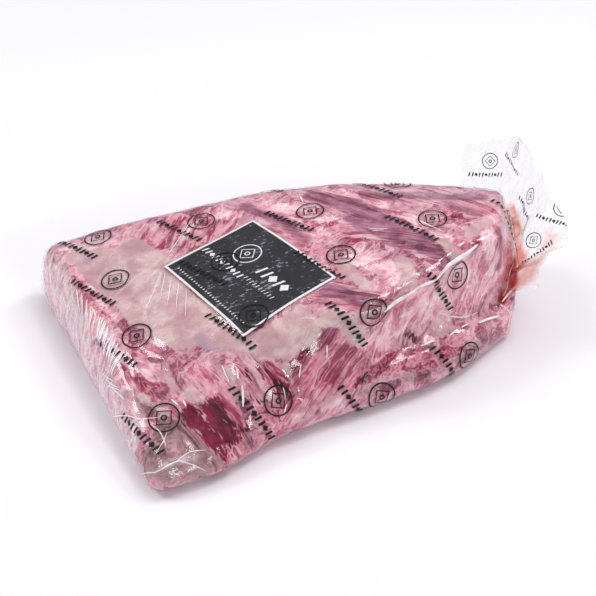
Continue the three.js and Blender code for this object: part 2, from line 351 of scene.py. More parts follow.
# grey: flesh made darker and greyer along the low front edge and at the low left corner
TISSUES["grey"] = [
    (10, 0.9, [(166, 430), (158, 446)]),
    (10, 0.8, [(150, 458), (170, 468), (196, 466)]),
    (9, 0.9, [(176, 424), (190, 448), (200, 458)]),
    (7, 0.8, [(206, 462), (226, 458), (246, 448)]),
    (6, 0.6, [(362, 392), (400, 382), (450, 364), (490, 342)]),
    (8, 0.6, [(128, 396), (140, 404), (150, 414)]),
]

# %% Strokes that say which way the muscle fibres run
GRAIN = {  # two pixels that a fibre joins: (width of a strand in mm, times longer than wide, strokes)
    ((370, 232), (430, 239)): (0.9, 16, [
        (15, 1, [(360, 222), (395, 232), (424, 242), (440, 251)]),
        (12, 1, [(326, 291), (350, 297), (378, 304)]),
    ]),
    ((322, 196), (368, 210)): (1.1, 10, [
        (11, 1, [(240, 204), (268, 216), (300, 236)]),
        (12, 1, [(312, 194), (370, 209), (400, 212)]),
        (12, 1, [(366, 191), (440, 195), (490, 206)]),
    ]),
    ((206, 408), (232, 442)): (1.5, 7, [
        (22, 1, [(200, 396), (214, 430), (224, 450)]),
        (14, 1, [(250, 372), (270, 388), (288, 400)]),
        (12, 1, [(130, 360), (160, 410)]),
    ]),
    ((300, 402), (334, 350)): (1.4, 8, [
        (16, 1, [(304, 352), (312, 380), (302, 410)]),
        (16, 1, [(336, 344), (340, 378), (330, 404)]),
        (9, 1, [(360, 350), (352, 380)]),
    ]),
    ((182, 250), (202, 216)): (1.6, 5, [
        (22, 1, [(146, 228), (184, 232), (232, 224)]),
    ]),
    ((446, 308), (458, 276)): (1.15, 3.2, [
        (22, 1, [(400, 322), (432, 302), (462, 284), (486, 262)]),
        (16, 1, [(380, 336), (480, 300), (497, 240)]),
        (30, 1, [(56, 280), (100, 384)]),
    ]),
}
LOOSE_STRAND = (1.6, 1.4)  # width in mm and stretch where no stroke says otherwise
LOOSE_WAY = (0.85, 0.4, 0.3)  # and the fibres' direction there


# %% Turn strokes into soft values at points
def noise_at(points, size, octaves=2):
    """Noise from about -1 to 1 whose lumps are size mm across."""
    return np.array([noise.fractal(Vector(p), 1.0, 2.0, octaves) for p in points / size])


def wander(points, size, reach):
    """Points pushed about by up to reach mm, in swirls size mm across, so that no stroke looks round."""
    return points + reach * np.array([noise.noise_vector(Vector(p)) for p in points / size])


def stroke_distance(points, line):
    """How far each point lies from a line of corner points, in mm."""
    nearest = np.full(len(points), np.inf)
    corners = np.array(line, float)
    for start, end in zip(corners[:-1], corners[1:]):
        run = end - start
        share = np.clip((points - start) @ run / (run @ run), 0, 1)
        nearest = np.minimum(nearest, np.linalg.norm(points - start - share[:, None] * run, axis=1))
    return nearest


def soft_strokes(points, strokes, softness, tree=skin_tree):
    """1 well inside the strokes, one half at their edge and 0 outside, over softness mm each way."""
    value = np.zeros(len(points))
    for radius, strength, line in strokes:
        inside = (radius - stroke_distance(points, on_surface(line, tree))) / (2 * softness)
        value = np.maximum(value, strength * np.clip(0.5 + inside, 0, 1))
    return value


# %% Find the tissues at the meat's points
EDGE_SOFTNESS = {"fat": 5, "lilac": 6, "rose": 5, "deep": 4, "plum": 5, "pale": 7, "grey": 9}  # mm
GRAIN_SOFTNESS = 6  # mm
BROAD_SWIRL = (30, 4)  # size of the swirls that push the strokes about, and how far they push, in mm
FINE_SWIRL = (10, 2)


def tissues(points):
    """The share of each tissue at each point, and the weight of each grain direction."""
    moved = wander(wander(points, *BROAD_SWIRL), *FINE_SWIRL)
    found = {}
    for name, strokes in TISSUES.items():
        found[name] = soft_strokes(moved, strokes, EDGE_SOFTNESS[name])
    for number, (_, _, strokes) in enumerate(GRAIN.values()):
        found[f"grain_{number}"] = soft_strokes(moved, strokes, GRAIN_SOFTNESS)
    return found


meat_points = points_of(meat)
meat_tissues = tissues(meat_points)
for tissue, share in meat_tissues.items():
    print(tissue, "covers", f"{np.mean(share > 0.5):.0%}")

# %% [markdown]
# ## Relief of the meat
#
# Under the film the meat is soft and uneven. Muscles bulge, fibres leave shallow furrows, a sharp lip runs
# along the crest of the steep facet and a deep crease below it. This is real shape, so it is moved in the
# mesh and not left to a bump. The whole skin is first drawn in a little, which leaves room for the film
# outside it.

# %% Lips, creases and lumps
FOLDS = [  # (height, half width, line): a ridge, or a groove where the height is below zero, in mm
    (1.6, 3.0, [  # the crest
        (386, 311), (404, 297), (419, 288), (437, 279), (451, 266), (468, 253), (479, 243),
    ]),
    (-1.5, 3.5, [(396, 312), (430, 297), (452, 279), (478, 257)]),  # just below it
    (-3.0, 3.5, [(438, 313), (455, 319), (468, 320), (484, 313), (494, 305)]),  # the crease above the slab
    (-1.6, 4.0, [(376, 342), (404, 345), (428, 346)]),
    (2.0, 6.0, [(436, 330), (445, 328)]),
    (-1.5, 3.0, [(350, 190), (396, 210), (440, 232), (464, 252)]),  # between the two muscles of the top
    (-1.4, 3.0, [(300, 310), (322, 318), (352, 326), (372, 312), (398, 298)]),
    (1.4, 9.0, [(372, 228), (420, 242)]),
    (1.2, 8.0, [(330, 292), (370, 302)]),
    (-1.6, 3.0, [(276, 360), (290, 380), (298, 398)]),
    (-1.4, 3.0, [(228, 378), (240, 405), (248, 430)]),
    (1.4, 7.0, [(210, 405), (222, 440)]),
    (1.3, 5.0, [(255, 372), (276, 392)]),
    (1.3, 6.0, [(300, 365), (318, 385)]),
    (-1.5, 3.5, [(122, 338), (160, 366), (180, 392)]),
    (-1.2, 3.0, [(150, 345), (215, 362), (262, 358), (305, 340)]),
    (1.5, 4.0, [(62, 261), (84, 296), (110, 325), (124, 340), (140, 372)]),  # the edge of the broad end
]


def fold_height(points):
    height = np.zeros(len(points))
    for rise, half_width, line in FOLDS:
        beside = stroke_distance(points, on_surface(line, skin_tree))
        height += rise * np.exp(-((beside / half_width) ** 2))
    return height


# %% Furrows along the fibres, and the height of the meat
MEAT_DEPTH = 1.2  # mm that the meat lies inside the sealed block
MEAT_LIMITS = (-3.2, -0.3)  # mm, before the folds
BROAD_LUMPS = (0.8, 26)  # height and size, mm
SMALL_LUMPS = (0.35, 9)
FURROW_WIDTH = 3.2  # strands
FURROW_HEIGHT = 0.5  # mm
FAT_RISE = 0.5  # mm that fat stands out


def fibre_noise(points, direction, width, length):
    """Noise drawn out along a direction, so that its lumps are long ridges."""
    axis = np.array(direction) / np.linalg.norm(direction)
    along = points @ axis
    return noise_at(points / width + np.outer(along * (1 / length - 1 / width), axis), 1)


def grain_way(pixels):
    """The direction in space of a fibre that joins two pixels of the photo."""
    start, end = (seen(pixel, skin_tree)[0] for pixel in pixels)
    return (end - start).normalized()


def meat_height(points, found):
    """How far each point of the meat stands from the sealed block's surface, in mm."""
    height = np.full(len(points), -MEAT_DEPTH)
    for rise, size in (BROAD_LUMPS, SMALL_LUMPS):
        height += rise * noise_at(points, size)
    for number, (pixels, (width, stretch, _)) in enumerate(GRAIN.items()):
        across = FURROW_WIDTH * width
        furrows = fibre_noise(points, grain_way(pixels), across, across * stretch)
        height += FURROW_HEIGHT * found[f"grain_{number}"] * furrows
    height += FAT_RISE * (found["fat"] > 0.5)
    return np.clip(height, *MEAT_LIMITS) + fold_height(points)


# %% Move the meat's points
def keep_above_floor(points):
    points[:, 2] = np.maximum(points[:, 2], 0.0)
    return points


def shade(piece, smooth):
    piece.data.polygons.foreach_set("use_smooth", [smooth] * len(piece.data.polygons))


meat_rise = meat_height(meat_points, meat_tissues)
move_points(meat, keep_above_floor(meat_points + meat_rise[:, None] * normals_of(meat)))
shade(meat, smooth=True)
print("meat stands", f"{meat_rise.min():.1f} to {meat_rise.max():.1f} mm from the block")


# %% Keep the tissues on the mesh for the material
def add_values(piece, name, values):
    layer = piece.data.attributes.new(name, "FLOAT", "POINT")
    layer.data.foreach_set("value", values.astype(np.float32))


for tissue, share in meat_tissues.items():
    add_values(meat, tissue, share)
print("values on the meat:", len(meat_tissues))

# %% [markdown]
# ## The label card
#
# The card is a thin printed sheet that lies on the meat under the film. Its corners come from the solid in
# the frame. The sheet is a fine grid dropped onto the block's skin, so that it bends with the meat and
# keeps a clean edge.

# %% Corners and directions of the card
label_points = np.array([v.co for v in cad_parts["label_card"].data.vertices]) / MM
left_corner = Vector(label_points[label_points[:, 0].argmin()])
right_corner = Vector(label_points[label_points[:, 0].argmax()])
near_corner = Vector(label_points[label_points[:, 1].argmin()])
far_corner = Vector(label_points[label_points[:, 1].argmax()])
label_centre = (left_corner + right_corner + near_corner + far_corner) / 4
label_across = ((right_corner - far_corner) + (near_corner - left_corner)).normalized()
label_along = ((far_corner - left_corner) + (right_corner - near_corner)).normalized()
LABEL_SIZE = (
    round((near_corner - left_corner).to_2d().length),
    round((far_corner - left_corner).to_2d().length),
)
print("label card, mm:", LABEL_SIZE, "centre", [round(c) for c in label_centre])


def on_label(points):
    """Points in the card's own frame: how far across and along it they lie from its centre, in mm."""
    offset = points - np.array(label_centre)
    return offset @ np.array(label_across), offset @ np.array(label_along)


# %% Lay the card on the meat
LABEL_RISE = 0.5  # mm that its underside keeps from the block's skin
LABEL_THICKNESS = 0.4
CARD_GRID = (48, 40)  # faces across and along it
CARD_SOFTENING = 8  # rounds that even out the bumps of the skin beneath
DROP_FROM = 200  # mm, above everything


def dropped(point):
    """The point of the block's skin straight above or below a point."""
    return skin_tree.ray_cast(Vector((point.x, point.y, DROP_FROM)), Vector((0, 0, -1)))[0]


def on_card(across, along):
    """The point of the block's skin at a place on the card, in mm from its centre."""
    return dropped(label_centre + label_across * across + label_along * along)


card = bmesh.new()
faces_across, faces_along = CARD_GRID
bmesh.ops.create_grid(card, x_segments=faces_across, y_segments=faces_along, size=0.5, calc_uvs=False)
card_map = card.loops.layers.uv.new("card")
for face in card.faces:
    for loop in face.loops:
        loop[card_map].uv = (loop.vert.co.x + 0.5, loop.vert.co.y + 0.5)
for corner in card.verts:
    spot = on_card(corner.co.x * LABEL_SIZE[0], corner.co.y * LABEL_SIZE[1])
    corner.co = (spot + Vector((0, 0, LABEL_RISE))) * MM
for _ in range(CARD_SOFTENING):
    bmesh.ops.smooth_vert(card, verts=card.verts, factor=0.5, use_axis_z=True)
bmesh.ops.recalc_face_normals(card, faces=card.faces)
label = add_piece("label_sheet", finished_mesh(card, "label_sheet"))
solid = label.modifiers.new("thickness", "SOLIDIFY")
solid.thickness = LABEL_THICKNESS * MM
solid.offset = 1
apply_modifiers(label)
shade(label, smooth=False)
print("label faces:", len(label.data.polygons))

# %% [markdown]
# ## The film
#
# Shrink film is drawn tight by heat, so it follows the meat closely, but it can't follow hollows and
# corners. It bridges them, lifts off at the ends, and gathers in small sharp pleats that run towards what
# holds it: the corners of the card and the ends of the bag. The skin gets a small clearance, rises over the
# card, and then takes its pleats. Each pleat is a ridge along a short line, highest in the middle.

# %% Pleats drawn where the photo shows them
PLEATS = [  # (height, half width, start, end), mm
    (1.8, 2.2, (-175, -62, 34), (-146, -86, 36)),
    (2.2, 2.4, (-160, -116, 18), (-122, -116, 22)),
    (1.2, 1.8, (-90, -70, 52), (-90, -86, 44)),
    (1.2, 1.6, (-92, -84, 43), (-90, -96, 36)),
    (0.9, 1.6, (-45, -82, 49), (-45, -89, 42)),
    (0.9, 1.6, (-27, -80, 53), (-27, -86, 46)),
    (0.9, 1.6, (-60, -92, 38), (-60, -98, 30)),
    (1.4, 2.2, (60, -64, 40), (96, -58, 42)),
    (1.2, 2.0, (96, -62, 32), (118, -56, 36)),
]

# %% Pleats that fan out from the card's left corner
CORNER_PLEATS = 13
FAN_START = 112  # degrees, seen from above
FAN_STEP = 13
FAN_JITTER = 4
FAN_GAP = 2  # mm between the corner and a pleat
FAN_REACH = (22, 48)  # mm
FAN_HEIGHT = (0.6, 1.1)
FAN_HALF_WIDTH = 1.4
pleat_draw = random.Random(11)

for number in range(CORNER_PLEATS):
    angle = math.radians(FAN_START + FAN_STEP * number + pleat_draw.uniform(-FAN_JITTER, FAN_JITTER))
    reach = pleat_draw.uniform(*FAN_REACH)
    away = Vector((math.cos(angle), math.sin(angle), 0))
    start = dropped(left_corner + away * FAN_GAP)
    end = dropped(left_corner + away * reach)
    PLEATS.append((pleat_draw.uniform(*FAN_HEIGHT), FAN_HALF_WIDTH, tuple(start), tuple(end)))

# %% Short pleats on the two ends, where the bag is gathered
END_PLEATS = 60
LEFT_SHARE = 0.65  # of them
LEFT_END = (block_low.x + 2, (-112, 100), (6, 50))  # x, and where across and up its pleats start, mm
RIGHT_END = (block_high.x - 12, (-40, 60), (6, 80))
END_LEAN = (-0.5, 0.3)  # how far a pleat leans across, for each mm that it goes up or down
END_TURN = 0.15  # and how far it goes along the block
END_HEIGHT = (0.6, 1.5)  # mm
END_HALF_WIDTH = (1.5, 2.4)
END_REACH = (14, 40)

for number in range(END_PLEATS):
    side, across_range, up_range = LEFT_END if number < LEFT_SHARE * END_PLEATS else RIGHT_END
    start = Vector((side, pleat_draw.uniform(*across_range), pleat_draw.uniform(*up_range)))
    lean = pleat_draw.uniform(*END_LEAN)
    away = Vector((END_TURN, lean, pleat_draw.choice((-1, 1)))).normalized()
    height, half_width = pleat_draw.uniform(*END_HEIGHT), pleat_draw.uniform(*END_HALF_WIDTH)
    PLEATS.append((height, half_width, tuple(start), tuple(start + away * pleat_draw.uniform(*END_REACH))))
print("pleats:", len(PLEATS))


# %% How pleats rise, and where the film is slack
LEFT_SLACK = 26  # mm in from the left end over which the film is slack
RIGHT_SLACK = 40
LOW_CORNER = (-150, -112, 18)  # mm, where the film stands off as a pouch
LOW_CORNER_SLACK = 48  # mm round it


def pleat_height(points):
    height = np.zeros(len(points))
    for rise, half_width, start, end in PLEATS:
        start, end = np.array(start), np.array(end)
        run = end - start
        share = (points - start) @ run / (run @ run)
        beside = np.linalg.norm(points - start - np.clip(share, 0, 1)[:, None] * run, axis=1)
        window = np.clip(1 - (2 * share - 1) ** 2, 0, 1)
        height += rise * window * np.exp(-((beside / half_width) ** 2))
    return height


def looseness(points):
    """How slack the film is: 0 where it is tight on the top, up to 1 at the ends and the low left corner."""
    left = np.clip((block_low.x + LEFT_SLACK - points[:, 0]) / LEFT_SLACK, 0, 1)
    right = np.clip((points[:, 0] - block_high.x + RIGHT_SLACK) / RIGHT_SLACK, 0, 1)
    from_corner = np.linalg.norm(points - np.array(LOW_CORNER), axis=1)
    corner = np.clip(1 - from_corner / LOW_CORNER_SLACK, 0, 1)
    return np.clip(np.maximum(np.maximum(left, 0.8 * right), 1.3 * corner), 0, 1)


# %% Move the film's points
FILM_CLEARANCE = 0.35  # mm that the film keeps from the meat
FILM_FOLLOWS = 0.55  # share of the meat's relief that tight film follows
SLACK_RISE = 0.9  # mm that slack film stands off
SLACK_WAVE = (1.1, 14)  # height and size of its waves, mm
PLEAT_SWIRL = (13, 1.5)  # size and reach of the swirls that bend the pleats, mm
CARD_CLEARANCE = 0.35  # mm
CARD_EDGE = 2.5  # mm over which the film comes down beside the card

film_points = points_of(film)
film_normals = normals_of(film)
film_meat = meat_height(film_points, tissues(film_points))
slack = looseness(film_points)
pleat_field = wander(film_points, *PLEAT_SWIRL)
film_pleats = pleat_height(pleat_field)
film_rise = FILM_FOLLOWS * film_meat + FILM_CLEARANCE + film_pleats
wave_height, wave_size = SLACK_WAVE
film_rise += slack * (SLACK_RISE + wave_height * noise_at(pleat_field, wave_size))
across, along = on_label(film_points)
beyond = np.maximum(np.abs(across) - LABEL_SIZE[0] / 2, np.abs(along) - LABEL_SIZE[1] / 2)
over_card = np.clip(1 - beyond / CARD_EDGE, 0, 1) * (film_normals[:, 2] > 0.5)
card_top = LABEL_RISE + LABEL_THICKNESS + CARD_CLEARANCE
film_rise = np.maximum(film_rise, over_card * card_top + (1 - over_card) * film_rise)
film_rise = np.maximum(film_rise, film_meat + FILM_CLEARANCE)  # the film never dips into the meat
move_points(film, keep_above_floor(film_points + film_rise[:, None] * film_normals))
shade(film, smooth=True)
print("film stands", f"{film_rise.min():.1f} to {film_rise.max():.1f} mm from the block")

# %% [markdown]
# ### Juice, haze and painted glare
#
# Red juice runs together inside the bag, mostly down the blunt end by the seam, and stains the film.
# Elsewhere the film is clear, but it goes milky where it stands off the meat, on the flanks of its pleats,
# and in thin straight lines where it is stretched tight from the card's corner. That white is partly painted
# glare and sheen, where the film shines on the broad end, along those lines and on the pleats. Both are
# laid out as strokes and kept on the mesh as soft values, and the film's material turns them into red and
# white.

# %% Strokes of juice, and of haze with painted glare where the film stands off
JUICE = [
    (3.5, 1.7, [(513, 212), (515, 238), (515, 262), (510, 284), (503, 299)]),  # by the seam of the bag
    (4.5, 0.7, [(509, 216), (510, 250), (506, 282)]),
]
HAZE_AND_GLARE = [
    (14, 0.6, [(50, 268), (66, 300), (84, 345)]),  # the broad end, where the film stands off: milky, with painted glare where it shines
    (12, 0.5, [(92, 372), (112, 402), (124, 426)]),
    (6, 0.5, [(104, 330), (112, 352), (110, 368)]),
    (5, 1.0, [(133, 424), (136, 440), (132, 455)]),
    (6, 0.1, [(146, 468), (170, 474), (200, 468)]),
    (14, 0.05, [(420, 318), (450, 296), (480, 268)]),  # the steep facet
    (5, 0.25, [(380, 190), (420, 192), (470, 194)]),
    (9, 0.25, [(58, 248), (90, 242), (130, 232)]),  # the far edge of the top
    (20, 0.4, [(-178, 60, 30), (-176, 100, 28)]),
    (20, 0.4, [(152, 20, 30), (150, 30, 60)]),
]

# %% Thin white lines where the tight film is stretched between the card's corner and the edges of the block: painted sheen along these tension wrinkles
STRETCH_SHEEN_LINES = [
    (1.2, 0.75, [(165, 263), (181, 241), (198, 219)]),
    (0.8, 0.5, [(172, 262), (190, 243), (206, 226)]),
    (1.2, 0.75, [(161, 273), (152, 295), (142, 319)]),
    (0.8, 0.55, [(165, 277), (159, 299), (151, 322)]),
    (0.7, 0.5, [(169, 279), (167, 301), (162, 326)]),
    (0.8, 0.5, [(158, 269), (142, 286), (124, 308)]),
    (0.7, 0.4, [(157, 265), (136, 278), (114, 295)]),
]

# %% Keep slack, haze with its painted glare, and juice on the film
HAZE_SOFTNESS = 5  # mm
STRETCH_SOFTNESS = 1.3
JUICE_SOFTNESS = 2
PLEAT_HAZE = 0.3  # white for each mm that a pleat stands up: milky film and painted sheen
PLEAT_HAZE_START = 0.06  # which is taken off, so that low pleats stay clear
PLEAT_HAZE_MOST = 0.45

# the white of the haze, the tension lines and the pleats is partly milky film and partly painted glare and
# sheen
film_haze_and_glare = soft_strokes(wander(film_points, 9, 2), HAZE_AND_GLARE, HAZE_SOFTNESS)
stretched = soft_strokes(wander(film_points, 20, 2), STRETCH_SHEEN_LINES, STRETCH_SOFTNESS)
pleat_haze_and_sheen = np.clip(PLEAT_HAZE * film_pleats - PLEAT_HAZE_START, 0, PLEAT_HAZE_MOST)
film_haze_and_glare = np.maximum(np.maximum(film_haze_and_glare, stretched), pleat_haze_and_sheen)
film_juice = soft_strokes(wander(film_points, 9, 1.5), JUICE, JUICE_SOFTNESS)
add_values(film, "slack", slack)
add_values(film, "haze_and_glare", film_haze_and_glare)
add_values(film, "juice", film_juice)
for name, share in (("haze_and_glare", film_haze_and_glare), ("juice", film_juice)):
    print("film with", name, f"{np.mean(share > 0.1):.0%}")

# %% [markdown]
# ## The loose end of the bag
#
# Behind its seam the bag goes on as an open end of unshrunk film, which stands up and fans out in waves.
# The solid in the frame has its form, as a thin plate. One wall of that plate is taken here, which is the
# sheet itself. Finer faces let it crumple: film folds sharply, so the crumples are noise that is folded at
# its middle value, and only the creases stay.

# %% Take one wall of the solid tail
WALL_TURN = math.radians(50)  # a wall ends where two faces meet at more than this


def one_wall(shell, first):
    """The faces that are reached from the first without crossing a sharp edge."""
    wall, waiting = {first}, [first]
    while waiting:
        face = waiting.pop()
        beside = {other for edge in face.edges for other in edge.link_faces} - wall
        reached = {other for other in beside if face.normal.angle(other.normal) < WALL_TURN}
        wall |= reached
        waiting += reached
    return wall


tail_shell = merged_copy("bag_tail")
upper_wall = one_wall(tail_shell, max(tail_shell.faces, key=lambda face: face.normal.z))
other_faces = [face for face in tail_shell.faces if face not in upper_wall]
bmesh.ops.delete(tail_shell, geom=other_faces, context="FACES")
print("faces of the tail's wall:", len(tail_shell.faces))
tail = add_piece("film_tail", finished_mesh(tail_shell, "film_tail"))
finer = tail.modifiers.new("finer faces", "SUBSURF")
finer.levels = finer.render_levels = 2
apply_modifiers(tail)

# %% Crumple it, and join it to the wrap
TAIL_JUICE = [  # what has run out of the seam onto the loose film
    (1.5, 1.4, [(511, 208), (515, 224), (517, 246), (517, 268)]),
    (4, 1.0, [(516, 244), (520, 261), (514, 286)]),
    (7, 0.5, [(520, 262), (534, 264)]),
    (6, 0.5, [(518, 280), (530, 272)]),
    (6, 0.25, [(538, 258), (552, 238)]),
]
TAIL_JUICE_SOFTNESS = 4  # mm
TAIL_HAZE = 0.11
TAIL_FILM = 0.3  # mm, thicker than the real 0.06 mm so that the mesh stays clean
CRUMPLES = ((1.6, 24), (0.5, 10))  # (height, size), mm
CRUMPLE_MIDDLE = 1.0  # mm, which is taken off, so that the sheet stays where the solid is
SEAM_REACH = 3.5  # mm from the wrap within which the tail is drawn to it
SEAM_INSET = 0.15  # mm that it then lies inside the wrap


def crumple(points, size):
    """Sharp creases between soft dents, size mm apart: 1 at a crease, down to about -1 in a dent."""
    return 1 - 2 * np.abs(noise_at(points, size, 1))


tail_points = points_of(tail)
tail_push = sum(height * crumple(tail_points, size) for height, size in CRUMPLES) - CRUMPLE_MIDDLE
tail_points += tail_push[:, None] * normals_of(tail)
wrap_tree = surface_tree(film)
for number, point in enumerate(tail_points):
    spot, outward, _, gap = wrap_tree.find_nearest(Vector(point))
    if gap < SEAM_REACH or (Vector(point) - spot).dot(outward) < 0:
        tail_points[number] = spot - SEAM_INSET * outward
move_points(tail, tail_points)
add_values(tail, "slack", np.ones(len(tail_points)))
add_values(tail, "haze_and_glare", np.full(len(tail_points), TAIL_HAZE))
tail_tree = surface_tree(tail)
tail_juice = soft_strokes(wander(tail_points, 9, 3), TAIL_JUICE, TAIL_JUICE_SOFTNESS, tail_tree)
add_values(tail, "juice", tail_juice)
thick = tail.modifiers.new("film thickness", "SOLIDIFY")
thick.thickness = TAIL_FILM * MM
thick.offset = 0
apply_modifiers(tail)
shade(tail, smooth=True)
print("tail faces:", len(tail.data.polygons))

# %% [markdown]
# ## The print on the film
#
# The bag carries a small black mark that repeats in staggered rows around it, as printed film does. The
# mark here is a plain ring with a diamond in it and a row of slanted bars beneath. It is flat line work,
# and each point of it walks from the middle of the mark over the film to its place, so the mark keeps its
# size and bends with the pleats and round the edges.


# %% Build the mark flat
FINEST = 1.6  # mm, so that ink bends with the film: longer edges are cut


def flat_ring(bm, centre, radius, width, sides):
    """A flat closed band round a centre, from two circles joined by faces."""
    loops = []
    place = Matrix.Translation((*centre, 0))
    for size in (radius, radius - width):
        circle = bmesh.ops.create_circle(bm, segments=sides, radius=size, matrix=place)
        loops += list({edge for vert in circle["verts"] for edge in vert.link_edges})
    bmesh.ops.bridge_loops(bm, edges=loops)


def flat_bar(bm, centre, height, width, lean):
    """A flat bar, high along its own Y, with its top moved over by lean."""
    made = bmesh.ops.create_grid(bm, x_segments=1, y_segments=1, size=0.5)["verts"]
    slant = Matrix.Identity(4)
    slant[0][1] = lean / height
    place = Matrix.Translation((*centre, 0)) @ slant @ Matrix.Diagonal((width, height, 1, 1))
    bmesh.ops.transform(bm, verts=made, matrix=place)


def flat_diamond(bm, centre, radius):
    place = Matrix.Translation((*centre, 0))
    bmesh.ops.create_circle(bm, cap_ends=True, segments=4, radius=radius, matrix=place)


def flat_row(bm, centre, pattern, step, height, width):
    """A row of slanted bars (/) and diamonds (o), read from a pattern of the two."""
    for number, sign in enumerate(pattern):
        spot = (centre[0] + step * (number - (len(pattern) - 1) / 2), centre[1])
        if sign == "/":
            flat_bar(bm, spot, height, width, 0.25 * height)
        if sign == "o":
            flat_diamond(bm, spot, 0.45 * height)


# %% Cut it finely, and put the mark together
LINE = 1.1  # mm, the width of the rings
RINGS_AT = (5, 9)  # mm from the middle of the mark
RINGS = ((10.5, 40), (7, 4), (2.2, 12))  # (radius in mm, sides): the ring, the diamond in it and the dot
BARS_AT = (0, -9)
BARS = "//o//o//o//"
BAR_STEP = 4.3
BAR_HEIGHT = 5.2


def finely_cut(bm):
    """Cuts long edges, so that flat work can bend."""
    for edge_length in (16 * FINEST, 4 * FINEST, 2 * FINEST, FINEST):
        long_edges = [edge for edge in bm.edges if edge.calc_length() > edge_length]
        bmesh.ops.subdivide_edges(bm, edges=long_edges, cuts=1, use_grid_fill=True)
    return bm


def mark(line=LINE):
    """The whole mark, flat, in mm, with its centre at the origin."""
    bm = bmesh.new()
    for radius, sides in RINGS:
        flat_ring(bm, RINGS_AT, radius, line, sides)
    flat_row(bm, BARS_AT, BARS, BAR_STEP, BAR_HEIGHT, 1.6 * line)
    return finely_cut(bm)


print("faces of a mark:", len(mark().faces))


# %% Walk flat work onto a surface
STRIDE = 1.5  # mm that a point walks before it is set back on the surface
PRINT_RISE = 0.14  # mm that the ink lies above the film
TORN = 2.5 * FINEST  # mm: an edge that ends up longer than this has been torn over a fold


def walked(tree, spot, normal, way, distance):
    """Where a straight walk over the surface in tree ends, or nothing if it steps off the edge."""
    while distance > 0:
        stride = min(STRIDE, distance)
        way = (way - normal * way.dot(normal)).normalized()
        aim = spot + way * stride
        spot, normal, _, gap = tree.find_nearest(aim)
        if gap > 0.75 * STRIDE:
            return None, None
        distance -= stride
    return spot, normal


def laid_on(flat, tree, spot, across_way, up_way, rise=PRINT_RISE):
    """Bends flat work over the surface in tree round a spot, and cuts off what would hang over its edge."""
    start, start_normal, _, _ = tree.find_nearest(spot)
    missed = []
    for vert in flat.verts:
        way = across_way * vert.co.x + up_way * vert.co.y
        end, normal = walked(tree, start, start_normal, way.normalized(), vert.co.to_2d().length)
        if end is None:
            missed.append(vert)
        else:
            vert.co = (end + normal * rise) * MM
    bmesh.ops.delete(flat, geom=missed, context="VERTS")
    torn = [edge for edge in flat.edges if edge.calc_length() > TORN * MM]
    bmesh.ops.delete(flat, geom=torn, context="EDGES")
    return flat


# %% Spots in rows round the block
FAR_OUT = 300  # mm from the block's middle, well outside it


def girth_spots(tree, x, step, first):
    """Spots every step mm round the block at one station, each with its outward direction."""
    middle = Vector((x, 0.5 * (block_low.y + block_high.y), 0.5 * block_high.z))
    found = []
    for number in range(360):
        angle = math.radians(number)
        out = Vector((0, math.cos(angle), math.sin(angle)))
        spot, normal, _, _ = tree.ray_cast(middle + out * FAR_OUT, -out, 2 * FAR_OUT)
        if spot is not None:
            found.append((spot, normal))
    spots, walked_so_far, due = [], 0.0, first
    for (spot, normal), (next_spot, _) in zip(found, found[1:]):
        if walked_so_far >= due:
            spots.append((spot, normal))
            due += step
        walked_so_far += (next_spot - spot).length
    return spots


# %% Join flat work, and find its directions on a surface
def joined_flats(name, flats):
    """One piece of many flat pieces of print."""
    whole = bmesh.new()
    for flat in flats:
        whole.from_mesh(finished_mesh(flat, name))
    return add_piece(name, finished_mesh(whole, name))


def print_ways(aim, normal):
    """The directions of print on a surface: across, as near to aim as the surface lets it run, and up."""
    across_way = (aim - normal * aim.dot(normal)).normalized()
    return across_way, normal.cross(across_way)


# %% Print the wrap
PRINT_COLUMNS = 5
FIRST_COLUMN = 34  # mm from the left end
PRINT_STEP = 74  # mm between marks along a row
FIRST_ROW = 20  # mm, measured round the block
ROW_STEP = 62
MARK_TURN = math.radians(62)

flats = []
for column in range(PRINT_COLUMNS):
    x = block_low.x + FIRST_COLUMN + PRINT_STEP * column
    first = FIRST_ROW + 0.5 * ROW_STEP * (column % 2)
    for spot, normal in girth_spots(wrap_tree, x, ROW_STEP, first):
        if normal.z < -0.5:  # nothing is printed on the underside
            continue
        across_way, up_way = print_ways(Vector((1, 0, 0)), normal)
        spin = Matrix.Rotation(-MARK_TURN, 3, normal)
        flats.append(laid_on(mark(), wrap_tree, spot, spin @ across_way, spin @ up_way))
print("marks on the wrap:", len(flats))

# %% Print the tail
TAIL_SPOTS = ((514, 158), (528, 204), (556, 214), (534, 248), (486, 168))  # pixels of the photo
TAIL_SCALE = 0.6  # the loose film leans away, and its print shows small
TAIL_AIM = Vector((0.94, 0.1, -0.33))  # along the tail, away from the seam

for pixel in TAIL_SPOTS:
    small = mark()
    bmesh.ops.scale(small, verts=small.verts, vec=(TAIL_SCALE, TAIL_SCALE, 1))
    spot, normal = seen(pixel, tail_tree)
    across_way, up_way = print_ways(TAIL_AIM, normal)
    if up_way.z < 0:
        up_way = -up_way
    flats.append(laid_on(small, tail_tree, spot, across_way, up_way, PRINT_RISE + 0.5 * TAIL_FILM))
prints = joined_flats("film_print", flats)
print("marks laid:", len(flats), "faces:", len(prints.data.polygons))
